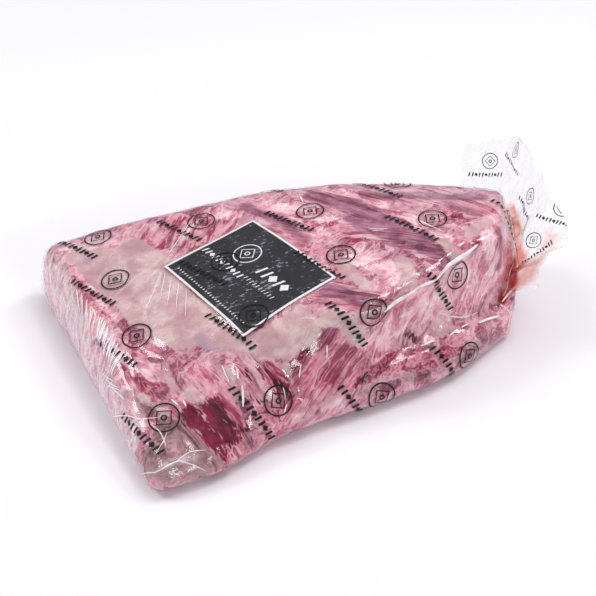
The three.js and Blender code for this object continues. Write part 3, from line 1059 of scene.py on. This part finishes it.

# %% [markdown]
# ## Creases of doubled film, and painted glints
#
# Where shrink film has gathered, it folds on itself into narrow welts. They are two or three layers thick,
# so they look white, and they catch the light as fine bright lines. The same white ribbons are also laid
# where the film only shines, on the lip of the crest and as glints on the slope and the slab: painted
# highlights. Each is a low domed ribbon along a line on the film: a grid whose points are set beside the
# line, widest in the middle and nothing at its ends.

# %% Creases that the photo shows
CREASES_AND_GLINTS = [  # (width in mm, pixels)
    (2.6, [(384, 312), (393, 304), (404, 297), (417, 289)]),  # the lip of the crest: a fold, and a painted highlight along it
    (2.0, [(414, 290), (426, 284), (438, 279)]),
    (2.8, [(436, 280), (446, 268), (455, 261), (466, 254), (478, 244)]),
    (2.2, [(446, 267), (457, 259), (468, 252)]),
    (0.8, [(110, 416), (128, 416), (140, 419), (160, 417)]),  # the pouch of the low corner
    (0.8, [(141, 474), (158, 471), (170, 464), (180, 461), (193, 465), (206, 471)]),
    (0.6, [(156, 454), (163, 442), (167, 432)]),
    (0.6, [(176, 462), (190, 452), (206, 450)]),
    (0.6, [(150, 424), (160, 432), (166, 446)]),
    (1.6, [(242, 385), (243, 396), (243, 407)]),  # painted glints on the slope
    (1.1, [(237, 369), (238, 379)]),
    (1.2, [(327, 345), (327, 358)]),
    (0.9, [(301, 364), (299, 378)]),
    (0.8, [(283, 387), (285, 400)]),
    (0.7, [(222, 366), (229, 382)]),
    (1.0, [(171, 399), (178, 405)]),
    (1.2, [(183, 400), (186, 406)]),
    (0.9, [(287, 404), (284, 413)]),
    # painted glints and glare on the slab and along the crease above it
    (1.2, [(424, 344), (436, 340)]),
    (1.8, [(479, 323), (488, 319), (499, 316)]),
    (1.4, [(449, 336), (458, 329)]),
    (1.2, [(462, 327), (468, 324)]),
    (0.9, [(438, 312), (450, 316), (464, 317), (478, 312)]),
    (1.2, [(300, 196), (303, 202)]),
    (0.6, [(168, 255), (182, 234), (196, 214)]),
    (0.5, [(161, 273), (154, 290), (146, 308)]),
    (0.7, [(420, 221), (444, 232)]),
    (0.8, [(368, 229), (388, 229)]),
    (0.7, [(372, 231), (384, 230)]),
    (1.6, [(519, 283), (510, 292), (502, 302)]),  # where the tail leaves
    (0.9, [(500, 304), (507, 309), (511, 318)]),
    (0.8, [(514, 262), (508, 282), (503, 296)]),
]

# %% Creases in gathers
GATHERS = [  # (count, width, first line, last line): lines spread evenly from the first to the last
    (14, 1.3, [(100, 316), (96, 336)], [(124, 352), (113, 376)]),  # where the film turns over the end's edge
    (10, 1.0, [(97, 336), (94, 356)], [(112, 380), (104, 394)]),
    (8, 0.9, [(78, 288), (82, 318)], [(96, 312), (92, 340)]),
    (8, 0.8, [(101, 372), (110, 378)], [(116, 394), (126, 400)]),
    (4, 0.5, [(166, 272), (160, 300)], [(186, 290), (184, 318)]),
    (5, 0.7, [(48, 268), (52, 292)], [(70, 282), (80, 330)]),
]
GATHER_JITTER = 1.5  # pixels
GATHER_WIDTHS = (0.6, 1.3)  # narrowest and widest, as shares of the width
gather_draw = random.Random(5)
for count, width, first_line, last_line in GATHERS:
    for number in range(count):
        share = number / (count - 1)
        line = []
        for first, last in zip(first_line, last_line):
            between = []
            for a, b in zip(first, last):
                between.append(a + share * (b - a) + gather_draw.uniform(-GATHER_JITTER, GATHER_JITTER))
            line.append(tuple(between))
        CREASES_AND_GLINTS.append((width * gather_draw.uniform(*GATHER_WIDTHS), line))
print("creases:", len(CREASES_AND_GLINTS))

# %% Lay ribbons along them
CREASE_DOME = 0.16  # height of a welt as a share of its width
CREASE_RISE = 0.1  # mm that its edges lie above the film
CREASE_STEP = 1.2  # mm between points along it
BLUNT_TIP = 0.02  # share of its length that is left out at each end, so that its tip keeps some width


def smooth_path(points, step):
    """Points every step mm on a curve through the given ones."""
    knots = [points[0]] + list(points) + [points[-1]]
    path = []
    for before, start, end, after in zip(knots, knots[1:], knots[2:], knots[3:]):
        pieces = max(2, round((end - start).length / step))
        for number in range(pieces):
            t = number / pieces
            path.append(0.5 * (
                2 * start + (end - before) * t + (2 * before - 5 * start + 4 * end - after) * t * t
                + (3 * start - before - 3 * end + after) * t ** 3
            ))
    return path + [points[-1]]


def ribbon(line, width, tree):
    path = smooth_path([seen(pixel, tree)[0] for pixel in line], CREASE_STEP)
    flat = bmesh.new()
    bmesh.ops.create_grid(flat, x_segments=len(path) - 1, y_segments=4, size=0.5)
    for vert in flat.verts:
        place = round((vert.co.x + 0.5) * (len(path) - 1))
        before, after = path[max(place - 1, 0)], path[min(place + 1, len(path) - 1)]
        spot, normal, _, _ = tree.find_nearest(path[place])
        side = normal.cross(after - before).normalized()
        taper = math.sqrt(math.sin(math.pi * (BLUNT_TIP + (1 - 2 * BLUNT_TIP) * place / (len(path) - 1))))
        beside = 2 * vert.co.y
        lift = CREASE_RISE + CREASE_DOME * width * (1 - beside * beside) * taper
        vert.co = (spot + side * (0.5 * width * beside * taper) + normal * lift) * MM
    bmesh.ops.recalc_face_normals(flat, faces=flat.faces)
    return flat


# the ribbons are welts of doubled film, and painted highlights where the film only shines
creases = joined_flats("film_creases_and_glints", [ribbon(line, width, wrap_tree) for width, line in CREASES_AND_GLINTS])
shade(creases, smooth=True)
print("faces of the creases:", len(creases.data.polygons))

# %% [markdown]
# ## The print on the card
#
# The card is printed in white: the same mark, and plain rows of bars beside and beneath it. It is flat work
# too, laid on the card's own face, so it bends as the card does.

# %% Print the card
CARD_LINE = 0.9  # mm, the width of the rings
CARD_MARK_AT = (-22, 2, 0)  # mm from the card's middle
CARD_ROWS = (  # (middle, pattern, step, height, width), mm
    ((19, 7), "//o/o", 6.6, 9, 1.9),
    ((19, -5), "/" * 10, 3.4, 3.2, 0.7),
    ((0, -33), "/" * 28, 2.9, 1.6, 0.8),
)
CARD_PRINT_RISE = 0.05  # mm
ABOVE_CARD = Vector((0, 0, 2))  # the card's middle is looked for from here, so that its upper face is found

label_tree = surface_tree(label)
card_print = mark(CARD_LINE)
bmesh.ops.translate(card_print, verts=card_print.verts, vec=CARD_MARK_AT)
rows = bmesh.new()
for row in CARD_ROWS:
    flat_row(rows, *row)
card_print.from_mesh(finished_mesh(finely_cut(rows), "rows"))
card_middle = on_card(0, 0) + ABOVE_CARD
laid_on(card_print, label_tree, card_middle, label_across, label_along, CARD_PRINT_RISE)
label_marks = joined_flats("label_print", [card_print])
print("faces of the card's print:", len(label_marks.data.polygons))

# %% [markdown]
# ## Materials
#
# Colours are read from the photo as sRGB values and turned to linear, which is what the shaders work in.
# One function adds a node with its settings and its links, and gives back the output that the next node
# needs.


# %% Colour and node helpers
def linear(hex_code):
    """An sRGB colour such as C78A9A as linear values."""
    channels = [int(hex_code[i:i + 2], 16) / 255 for i in (0, 2, 4)]
    return [c / 12.92 if c <= 0.04045 else ((c + 0.055) / 1.055) ** 2.4 for c in channels] + [1.0]


def node(tree, kind, inputs=(), output=0, stops=(), **settings):
    """Adds a shader node and gives one of its outputs. inputs maps a socket to a value or to another node's
    output, and stops fill a colour ramp."""
    made = tree.nodes.new("ShaderNode" + kind)
    for setting, value in settings.items():
        setattr(made, setting, value)
    for socket, value in dict(inputs).items():
        if isinstance(value, bpy.types.NodeSocket):
            tree.links.new(value, made.inputs[socket])
        else:
            made.inputs[socket].default_value = value
    if stops:
        ramp = made.color_ramp.elements
        while len(ramp) < len(stops):
            ramp.new(0.5)
        for element, (place, colour) in zip(ramp, stops):
            element.position, element.color = place, linear(colour)
    return made.outputs[output] if made.outputs else None


COLOUR_MIX = {"data_type": "RGBA", "output": 2}  # a Mix node: its factor is socket 0, its colours 6 and 7
SMOOTH = {"interpolation_type": "SMOOTHSTEP"}  # a Map Range node that eases in and out between its limits


def new_material(name):
    material = bpy.data.materials.new(name)
    material.use_nodes = True
    material.node_tree.nodes.clear()
    return material, material.node_tree


def per_mm(size):
    """The scale of a noise whose lumps are size mm wide, in the metres of Object coordinates."""
    return 1 / (size * MM)


# %% [markdown]
# ### Raw beef
#
# Raw marbled beef is a wet, slightly translucent solid: pink to dark red muscle, threaded with fine white
# fat, with a soft shine. Muscle reads as fibres, so its noise is drawn out along the grain. The grain turns
# from one muscle to the next, and the coordinates switch with it where the weights on the mesh say so.

# %% Coordinates that follow the fibres
def strands(tree, place, way, width, stretch):
    """Coordinates in which a strand is one unit wide, and stretched along its way."""
    sizes = (stretch * width * MM, width * MM, width * MM)
    turn = Vector(way).to_track_quat("X", "Z").to_euler()
    return node(tree, "Mapping", {"Vector": place, "Rotation": turn, "Scale": sizes}, vector_type="TEXTURE")


def fibre_coordinates(tree, place, jagged):
    """Coordinates that turn from one muscle to the next, where their weights and a jagged noise say so."""
    grain = strands(tree, place, LOOSE_WAY, *LOOSE_STRAND)
    for number, (pixels, (width, stretch, _)) in enumerate(GRAIN.items()):
        weight = node(tree, "Attribute", output="Fac", attribute_name=f"grain_{number}")
        weight = node(tree, "Math", {0: weight, 1: jagged}, operation="ADD")
        here = node(tree, "Math", {0: weight, 1: 0.5}, operation="GREATER_THAN")
        along_fibres = strands(tree, place, grain_way(pixels), width, stretch)
        grain = node(tree, "Mix", {0: here, 4: grain, 5: along_fibres}, output=1, data_type="VECTOR")
    return grain


# %% [markdown]
# Fine fat shows in two ways. Thin wandering lines are the places where a noise crosses one half. Between
# the bundles of fibres lie walls of fat, and cut across they make a net: the distance to the edge of a
# Voronoi cell, with the cells pushed about so that no wall is straight. Both fade in and out, as real
# marbling does.

# %% White threads of fat
CELL_SCALE = 0.26  # a cell of the net is about four strands wide
CELL_SWIRL = 4  # strands that the net is pushed about by
NET_SHARE = 0.8  # how white the net is
THIN_SHARE = 0.6  # and the thin lines


def line_at_half(tree, value, width):
    """1 where a noise crosses one half, falling to 0 at width beside it."""
    off = node(tree, "Math", {0: value, 1: 0.5}, operation="SUBTRACT")
    off = node(tree, "Math", {0: off}, operation="ABSOLUTE")
    return node(tree, "MapRange", {0: off, 1: 0.2 * width, 2: width, 3: 1.0, 4: 0.0}, **SMOOTH)


def white_threads(tree, grain, thin, seams, wobble):
    """How much fine fat shows, from 0 to 1."""
    swirl = node(tree, "TexNoise", {"Vector": grain, "Scale": 0.3, "Detail": 2.0}, output="Color")
    swirled = node(tree, "VectorMath", {0: swirl, 1: [CELL_SWIRL] * 3, 2: grain}, operation="MULTIPLY_ADD")
    walls = node(tree, "TexVoronoi", {"Vector": swirled, "Scale": CELL_SCALE}, feature="DISTANCE_TO_EDGE")
    walls = node(tree, "MapRange", {0: walls, 1: 0.02, 2: 0.13, 3: 1.0, 4: 0.0}, **SMOOTH)
    crowded = node(tree, "MapRange", {0: seams, 1: 0.4, 2: 0.55, 4: NET_SHARE}, **SMOOTH)
    net = node(tree, "Math", {0: walls, 1: crowded}, operation="MULTIPLY")
    thin = node(tree, "Math", {0: thin, 1: THIN_SHARE}, operation="MULTIPLY")
    threads = node(tree, "Math", {0: thin, 1: net}, operation="MAXIMUM")
    threads = node(tree, "Math", {0: threads, 1: line_at_half(tree, seams, 0.05)}, operation="MAXIMUM")
    fading = node(tree, "MapRange", {0: wobble, 1: 0.35, 2: 0.6, 3: 0.3, 4: 1.0})
    return node(tree, "Math", {0: threads, 1: fading}, operation="MULTIPLY")


# %% [markdown]
# Broad fat is smooth and cream, with lavender patches where the lilac strokes lie and pink threads in it.
# Every tissue's edge is broken by noise: ragged edges are torn across the grain, and the darkest muscle
# and the fat fray along it.

# %% Broad fat
FAT_CREAM = ("C0969E", "CFAAAD", "E0C4C1")  # its dark, middle and light
FAT_LAVENDER = "A386A4"
FAT_THREAD = "C48A96"


def fat_colour(tree, place, jagged, thin):
    dark, middle, light = FAT_CREAM
    soft = node(tree, "TexNoise", {
        "Vector": place, "Scale": per_mm(20), "Detail": 4.0, "Roughness": 0.55, "Distortion": 0.4,
    })
    cream = node(tree, "ValToRGB", {0: soft}, stops=[(0.34, dark), (0.48, middle), (0.6, light)])
    lavender_share = node(tree, "Attribute", output="Fac", attribute_name="lilac")
    lavender_share = node(tree, "Math", {0: jagged, 1: 2.0, 2: lavender_share}, operation="MULTIPLY_ADD")
    lavender_share = node(tree, "MapRange", {0: lavender_share, 1: 0.2, 2: 1.1, 4: 0.6}, **SMOOTH)
    cream = node(tree, "Mix", {0: lavender_share, 6: cream, 7: linear(FAT_LAVENDER)}, **COLOUR_MIX)
    pink = node(tree, "Math", {0: thin, 1: 0.35}, operation="MULTIPLY")
    return node(tree, "Mix", {0: pink, 6: cream, 7: linear(FAT_THREAD)}, **COLOUR_MIX)


# %% Raw beef
BEEF = {  # the dark, middle and light flesh of each tissue, its white threads, and how strong they are
    "muscle": ("8C4260", "BC6A82", "DEA3B2", "F6D2DA", 0.8),
    # pale flesh is lighter than pale muscle itself: painted light, made for the steep facet that faces the
    # front
    "pale": ("BC607A", "E48FA5", "FAC4CF", "FFEDF1", 0.85),
    "grey": ("583638", "865A5E", "AE888A", "D2ACAE", 0.5),
    "rose": ("80223F", "B24663", "DA8498", "F8CAD2", 0.72),
    "plum": ("662C46", "904A64", "B4788E", "D8A8B8", 0.35),
    "deep": ("20000A", "4C001C", "86143C", "A84868", 0.35),
}
TONE_STOPS = (0.36, 0.5, 0.64)  # where the tone's noise gives dark, middle and light flesh


def raw_beef():
    material, tree = new_material("raw_beef")
    place = node(tree, "TexCoord", output="Object")
    wobble = node(tree, "TexNoise", {"Vector": place, "Scale": per_mm(12), "Detail": 4.0, "Roughness": 0.65})
    jagged = node(tree, "Math", {0: wobble, 1: 0.5}, operation="SUBTRACT")
    grain = fibre_coordinates(tree, place, jagged)
    fibres = node(tree, "TexNoise", {"Vector": grain, "Scale": 1.0, "Detail": 2.0, "Roughness": 0.6})
    net = node(tree, "TexNoise", {
        "Vector": grain, "Scale": 0.34, "Detail": 2.0, "Roughness": 0.5, "Distortion": 0.9,
    })
    seams = node(tree, "TexNoise", {
        "Vector": grain, "Scale": 0.12, "Detail": 3.0, "Roughness": 0.55, "Distortion": 0.8,
    })
    tone = node(tree, "Math", {0: fibres, 1: 0.22, 2: -0.21}, operation="MULTIPLY_ADD")
    tone = node(tree, "Math", {0: seams, 1: 0.7, 2: tone}, operation="MULTIPLY_ADD")
    tone = node(tree, "Math", {0: wobble, 1: 0.5, 2: tone}, operation="MULTIPLY_ADD")
    ragged = node(tree, "Math", {0: net, 1: 0.3, 2: -0.15}, operation="MULTIPLY_ADD")
    ragged = node(tree, "Math", {0: jagged, 1: ragged}, operation="ADD")
    torn = node(tree, "Math", {0: fibres, 1: 1.6, 2: -0.8}, operation="MULTIPLY_ADD")
    torn = node(tree, "Math", {0: jagged, 1: torn}, operation="ADD")
    thin = line_at_half(tree, net, 0.06)
    threads = white_threads(tree, grain, thin, seams, wobble)

    colour = None
    for name, (dark, middle, light, white, strength) in BEEF.items():
        flesh = node(tree, "ValToRGB", {0: tone}, stops=list(zip(TONE_STOPS, (dark, middle, light))))
        marbling = node(tree, "Math", {0: threads, 1: strength}, operation="MULTIPLY")
        marbled = node(tree, "Mix", {0: marbling, 6: flesh, 7: linear(white)}, **COLOUR_MIX)
        if colour is None:
            colour = marbled
        else:
            here = node(tree, "Attribute", output="Fac", attribute_name=name)
            here = node(tree, "Math", {0: here, 1: torn if name == "deep" else ragged}, operation="ADD")
            here = node(tree, "MapRange", {0: here, 1: 0.3, 2: 0.62}, **SMOOTH)
            colour = node(tree, "Mix", {0: here, 6: colour, 7: marbled}, **COLOUR_MIX)

    frayed = node(tree, "Math", {0: torn, 1: 0.3}, operation="MULTIPLY")
    frayed = node(tree, "Math", {0: ragged, 1: 0.7, 2: frayed}, operation="MULTIPLY_ADD")
    fat = node(tree, "Attribute", output="Fac", attribute_name="fat")
    fat = node(tree, "Math", {0: fat, 1: frayed}, operation="ADD")
    fat = node(tree, "MapRange", {0: fat, 1: 0.34, 2: 0.64}, **SMOOTH)
    cream = fat_colour(tree, place, jagged, thin)
    colour = node(tree, "Mix", {0: fat, 6: colour, 7: cream}, **COLOUR_MIX)

    bump = node(tree, "Bump", {"Height": net, "Strength": 0.3, "Distance": 0.6 * MM})
    shader = node(tree, "BsdfPrincipled", {
        "Base Color": colour, "Roughness": 0.45, "IOR": 1.38, "Specular IOR Level": 0.15, "Normal": bump,
    })
    node(tree, "OutputMaterial", {"Surface": shader})
    print(material.name, "nodes:", len(tree.nodes))
    return material


meat.data.materials.append(raw_beef())

# %% [markdown]
# ### Shrink film
#
# The film is clear polyethylene about 0.06 mm thick, drawn tight and wet on the inside. It shows as what it
# mirrors, more at a slant, and as a milkiness where it stands off the meat. The Facing output is the same
# from both sides, so light that comes back out through the film isn't held in, as a Fresnel node would have
# it. Juice tints what is seen through the film, and where there is much of it, it hides what lies beneath.

# %% Shrink film
FILM_HEAD_ON = 0.035  # share that a thin film mirrors of a ray that meets it head on
MILK_WHITE = "FFF6FA"
JUICE_TINT = "F4B8A8"  # a thin smear
JUICE_RED = "A42E3E"  # a thick one
JUICE_HIDES = 0.3


def shrink_film():
    material, tree = new_material("shrink_film")
    place = node(tree, "TexCoord", output="Object")
    slack_share = node(tree, "Attribute", output="Fac", attribute_name="slack")
    juice_share = node(tree, "Attribute", output="Fac", attribute_name="juice")
    haze_and_glare_share = node(tree, "Attribute", output="Fac", attribute_name="haze_and_glare")

    crinkle = node(tree, "TexNoise", {
        "Vector": place, "Scale": per_mm(8), "Detail": 3.0, "Roughness": 0.6, "Distortion": 1.0,
    })
    strength = node(tree, "MapRange", {0: slack_share, 3: 0.08, 4: 0.35})  # slack film crinkles more
    bump = node(tree, "Bump", {"Height": crinkle, "Strength": strength, "Distance": 1.0 * MM})
    facing = node(tree, "LayerWeight", {"Blend": 0.5, "Normal": bump}, output="Facing")
    slant = node(tree, "Math", {0: facing, 1: 5.0}, operation="POWER")
    shine = node(tree, "Math", {0: slant, 1: 1 - FILM_HEAD_ON, 2: FILM_HEAD_ON}, operation="MULTIPLY_ADD")
    mirror = node(tree, "BsdfGlossy", {"Color": linear("FFFFFF"), "Roughness": 0.1, "Normal": bump})
    tint = node(tree, "Mix", {0: juice_share, 6: linear("FFFFFF"), 7: linear(JUICE_TINT)}, **COLOUR_MIX)
    clear = node(tree, "BsdfTransparent", {"Color": tint})
    glossy = node(tree, "MixShader", {0: shine, 1: clear, 2: mirror})

    drawn_up = node(tree, "Mapping", {"Vector": place, "Scale": (1, 1, 0.25)})  # streaks run up and down
    streaks = node(tree, "TexNoise", {"Vector": drawn_up, "Scale": per_mm(4), "Detail": 3.0})
    patches = node(tree, "MapRange", {0: streaks, 1: 0.38, 2: 0.62, 3: 0.25, 4: 1.1})
    # the milky white also paints glare and sheen where the film shines: painted highlight
    haze_and_glare = node(tree, "Math", {0: haze_and_glare_share, 1: patches}, operation="MULTIPLY")
    stain = node(tree, "Math", {0: juice_share, 1: JUICE_HIDES}, operation="MULTIPLY")
    stain = node(tree, "Math", {0: stain, 1: patches}, operation="MULTIPLY")
    haze_and_glare = node(tree, "Math", {0: haze_and_glare, 1: stain}, operation="MAXIMUM")
    colour = node(tree, "Mix", {0: juice_share, 6: linear(MILK_WHITE), 7: linear(JUICE_RED)}, **COLOUR_MIX)
    milk_and_glare = node(tree, "BsdfDiffuse", {"Color": colour, "Normal": bump})
    node(tree, "OutputMaterial", {"Surface": node(tree, "MixShader", {0: haze_and_glare, 1: glossy, 2: milk_and_glare})})
    print(material.name, "nodes:", len(tree.nodes))
    return material


# %% Doubled film, whose white also paints glints
def doubled_film_and_glints():
    """Film folded on itself: whiter than one layer, with the same shine. Its white also paints highlights
    where the film only shines.
    """
    material, tree = new_material("doubled_film_and_glints")
    place = node(tree, "TexCoord", output="Object")
    broken = node(tree, "TexNoise", {"Vector": place, "Scale": per_mm(9), "Detail": 2.0})
    white = node(tree, "MapRange", {0: broken, 1: 0.3, 2: 0.55, 3: 0.6, 4: 1.0})
    clear = node(tree, "BsdfTransparent")
    folded = node(tree, "BsdfPrincipled", {"Base Color": linear(MILK_WHITE), "Roughness": 0.25, "IOR": 1.5})
    node(tree, "OutputMaterial", {"Surface": node(tree, "MixShader", {0: white, 1: clear, 2: folded})})
    print(material.name, "nodes:", len(tree.nodes))
    return material


film_material = shrink_film()
film.data.materials.append(film_material)
tail.data.materials.append(film_material)
creases.data.materials.append(doubled_film_and_glints())

# %% [markdown]
# ### Ink and card
#
# The ink is a thin opaque film of black pigment with a slight shine. The card is coated stock printed
# charcoal all over, but for a narrow white margin, and the film on it traps small bubbles that show as pale
# specks. The same pale specks also paint the glints of the film's fine wrinkles over the dark card.


# %% Printing ink
def printing_ink(name, colour):
    material, tree = new_material(name)
    place = node(tree, "TexCoord", output="Object")
    grain = node(tree, "TexNoise", {"Vector": place, "Scale": per_mm(1.5), "Detail": 2.0})
    rough = node(tree, "MapRange", {0: grain, 3: 0.4, 4: 0.6})
    shader = node(tree, "BsdfPrincipled", {
        "Base Color": linear(colour), "Roughness": rough, "Specular IOR Level": 0.3,
    })
    node(tree, "OutputMaterial", {"Surface": shader})
    return material


# %% Charcoal card with a white margin
CARD_MARGIN = 1.7  # mm
MARGIN_EDGE = 0.15  # mm over which its edge fades
CHARCOAL = ("1D1D23", "2C2B32")
CARD_WHITE = "F3EEF1"
BUBBLE_AND_GLINT_GREY = "B9B7C0"


def inside_card(tree, flat):
    """How far a point of the card lies from its nearest edge, in mm."""
    nearest = None
    for axis, size in enumerate(LABEL_SIZE):
        off = node(tree, "SeparateXYZ", {0: flat}, output=axis)
        off = node(tree, "Math", {0: off, 1: 0.5}, operation="SUBTRACT")
        off = node(tree, "Math", {0: off}, operation="ABSOLUTE")
        inside = node(tree, "Math", {0: off, 1: -size, 2: 0.5 * size}, operation="MULTIPLY_ADD")
        if nearest is None:
            nearest = inside
        else:
            nearest = node(tree, "Math", {0: nearest, 1: inside}, operation="MINIMUM")
    return nearest


def charcoal_card():
    material, tree = new_material("charcoal_card")
    place = node(tree, "TexCoord", output="Object")
    drawn_out = node(tree, "Mapping", {"Vector": place, "Scale": (0.45, 1, 1)})
    speck = node(tree, "TexNoise", {"Vector": drawn_out, "Scale": per_mm(2.2), "Detail": 3.0})
    cloud = node(tree, "TexNoise", {"Vector": place, "Scale": per_mm(16), "Detail": 3.0})
    crowded = node(tree, "Math", {0: cloud, 1: 0.35, 2: speck}, operation="MULTIPLY_ADD")
    # pale specks: small bubbles under the film, and painted glints of its fine wrinkles over the dark card
    bubbles_and_glints = node(tree, "MapRange", {0: crowded, 1: 0.76, 2: 0.88, 4: 0.6}, **SMOOTH)
    dark, light = CHARCOAL
    base = node(tree, "ValToRGB", {0: cloud}, stops=[(0.35, dark), (0.65, light)])
    colour = node(tree, "Mix", {0: bubbles_and_glints, 6: base, 7: linear(BUBBLE_AND_GLINT_GREY)}, **COLOUR_MIX)
    flat = node(tree, "UVMap", uv_map="card")
    inked = node(tree, "MapRange", {
        0: inside_card(tree, flat), 1: CARD_MARGIN - MARGIN_EDGE, 2: CARD_MARGIN + MARGIN_EDGE,
    }, **SMOOTH)
    colour = node(tree, "Mix", {0: inked, 6: linear(CARD_WHITE), 7: colour}, **COLOUR_MIX)
    shader = node(tree, "BsdfPrincipled", {
        "Base Color": colour, "Roughness": 0.55, "Specular IOR Level": 0.3,
    })
    node(tree, "OutputMaterial", {"Surface": shader})
    print(material.name, "nodes:", len(tree.nodes))
    return material


prints.data.materials.append(printing_ink("black_ink", "100D12"))
label_marks.data.materials.append(printing_ink("white_ink", "F1EEF2"))
label.data.materials.append(charcoal_card())

# %% [markdown]
# ## Floor and light
#
# The photo is taken on white with soft light from above and from the front, so the shadow in front of the
# block is only a faint lilac. One wide soft lamp would lie in the film as a grey veil wherever it is
# mirrored. So the light comes from a few small bright lamps that stand clear of the directions which the
# top mirrors to the camera: they show as glints on creases and pleats, and the card and the red meat stay
# deep.

# %% Floor and world
FLOOR_HALF = 3  # metres
WORLD_BRIGHTNESS = 0.35  # where 1 alone would light white paper to full white

floor_mesh = bmesh.new()
bmesh.ops.create_grid(floor_mesh, x_segments=1, y_segments=1, size=FLOOR_HALF)
floor = add_piece("floor", finished_mesh(floor_mesh, "floor"))
floor_material, floor_tree = new_material("white_sweep")
floor_shader = node(floor_tree, "BsdfPrincipled", {
    "Base Color": linear("FAF9FC"), "Roughness": 0.9, "Specular IOR Level": 0.1,
})
node(floor_tree, "OutputMaterial", {"Surface": floor_shader})
floor.data.materials.append(floor_material)

world = bpy.data.worlds.new("studio")
bpy.context.scene.world = world
world.use_nodes = True
world.node_tree.nodes["Background"].inputs["Color"].default_value = linear("F4F5FB")
world.node_tree.nodes["Background"].inputs["Strength"].default_value = WORLD_BRIGHTNESS

# %% Lamps
LAMPS = {  # place and size in metres, and brightness of the lamp's own surface, where white paper is 1
    "overhead": ((0.45, 0.5, 2.1), 1.0, 2.8),
    "right_top": ((1.2, 0.15, 1.75), 0.45, 15),
    "key": ((-1.3, 0.8, 1.65), 0.6, 12.8),
    "front": ((0.45, -2.1, 1.05), 0.5, 13),
    "left_side": ((-2.0, -0.6, 0.9), 1.2, 0.6),
    "crest_lamp": ((0.5, -0.25, 1.5), 0.3, 11),
}
LIT_POINT = Vector((0, 0, 0.05))  # just inside the block

for name, (place, size, brightness) in LAMPS.items():
    lamp = bpy.data.objects.new(name, bpy.data.lights.new(name, "AREA"))
    lamp.data.size = size
    lamp.data.energy = brightness * math.pi * size * size
    lamp.location = place
    lamp.rotation_euler = (LIT_POINT - Vector(place)).to_track_quat("-Z", "Y").to_euler()
    bpy.context.scene.collection.objects.link(lamp)
bpy.context.scene.view_settings.view_transform = "Standard"
print("lamps:", len(LAMPS))

# %% [markdown]
# ## Hand the pieces over
#
# Nothing on this object moves against the rest, so every piece rides on the one body of the frame. Each
# stands for the solid that it replaces: the meat, its film, print, and creases with their painted glints
# for the sealed block, the card for the card, and the crumpled sheet for the tail. The size of the frame's
# block is printed.

# %% What each piece rides on and stands for
PIECES = (
    (meat, "raw_beef", "sealed_meat"),
    (film, "clear_film", "sealed_meat"),
    (prints, "clear_film", "sealed_meat"),
    (creases, "clear_film", "sealed_meat"),
    (label, "label_card", "label_card"),
    (label_marks, "label_card", "label_card"),
    (tail, "clear_film", "bag_tail"),
)
for piece, slot, stands_for in PIECES:
    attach(piece, "root")
    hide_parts(stands_for)
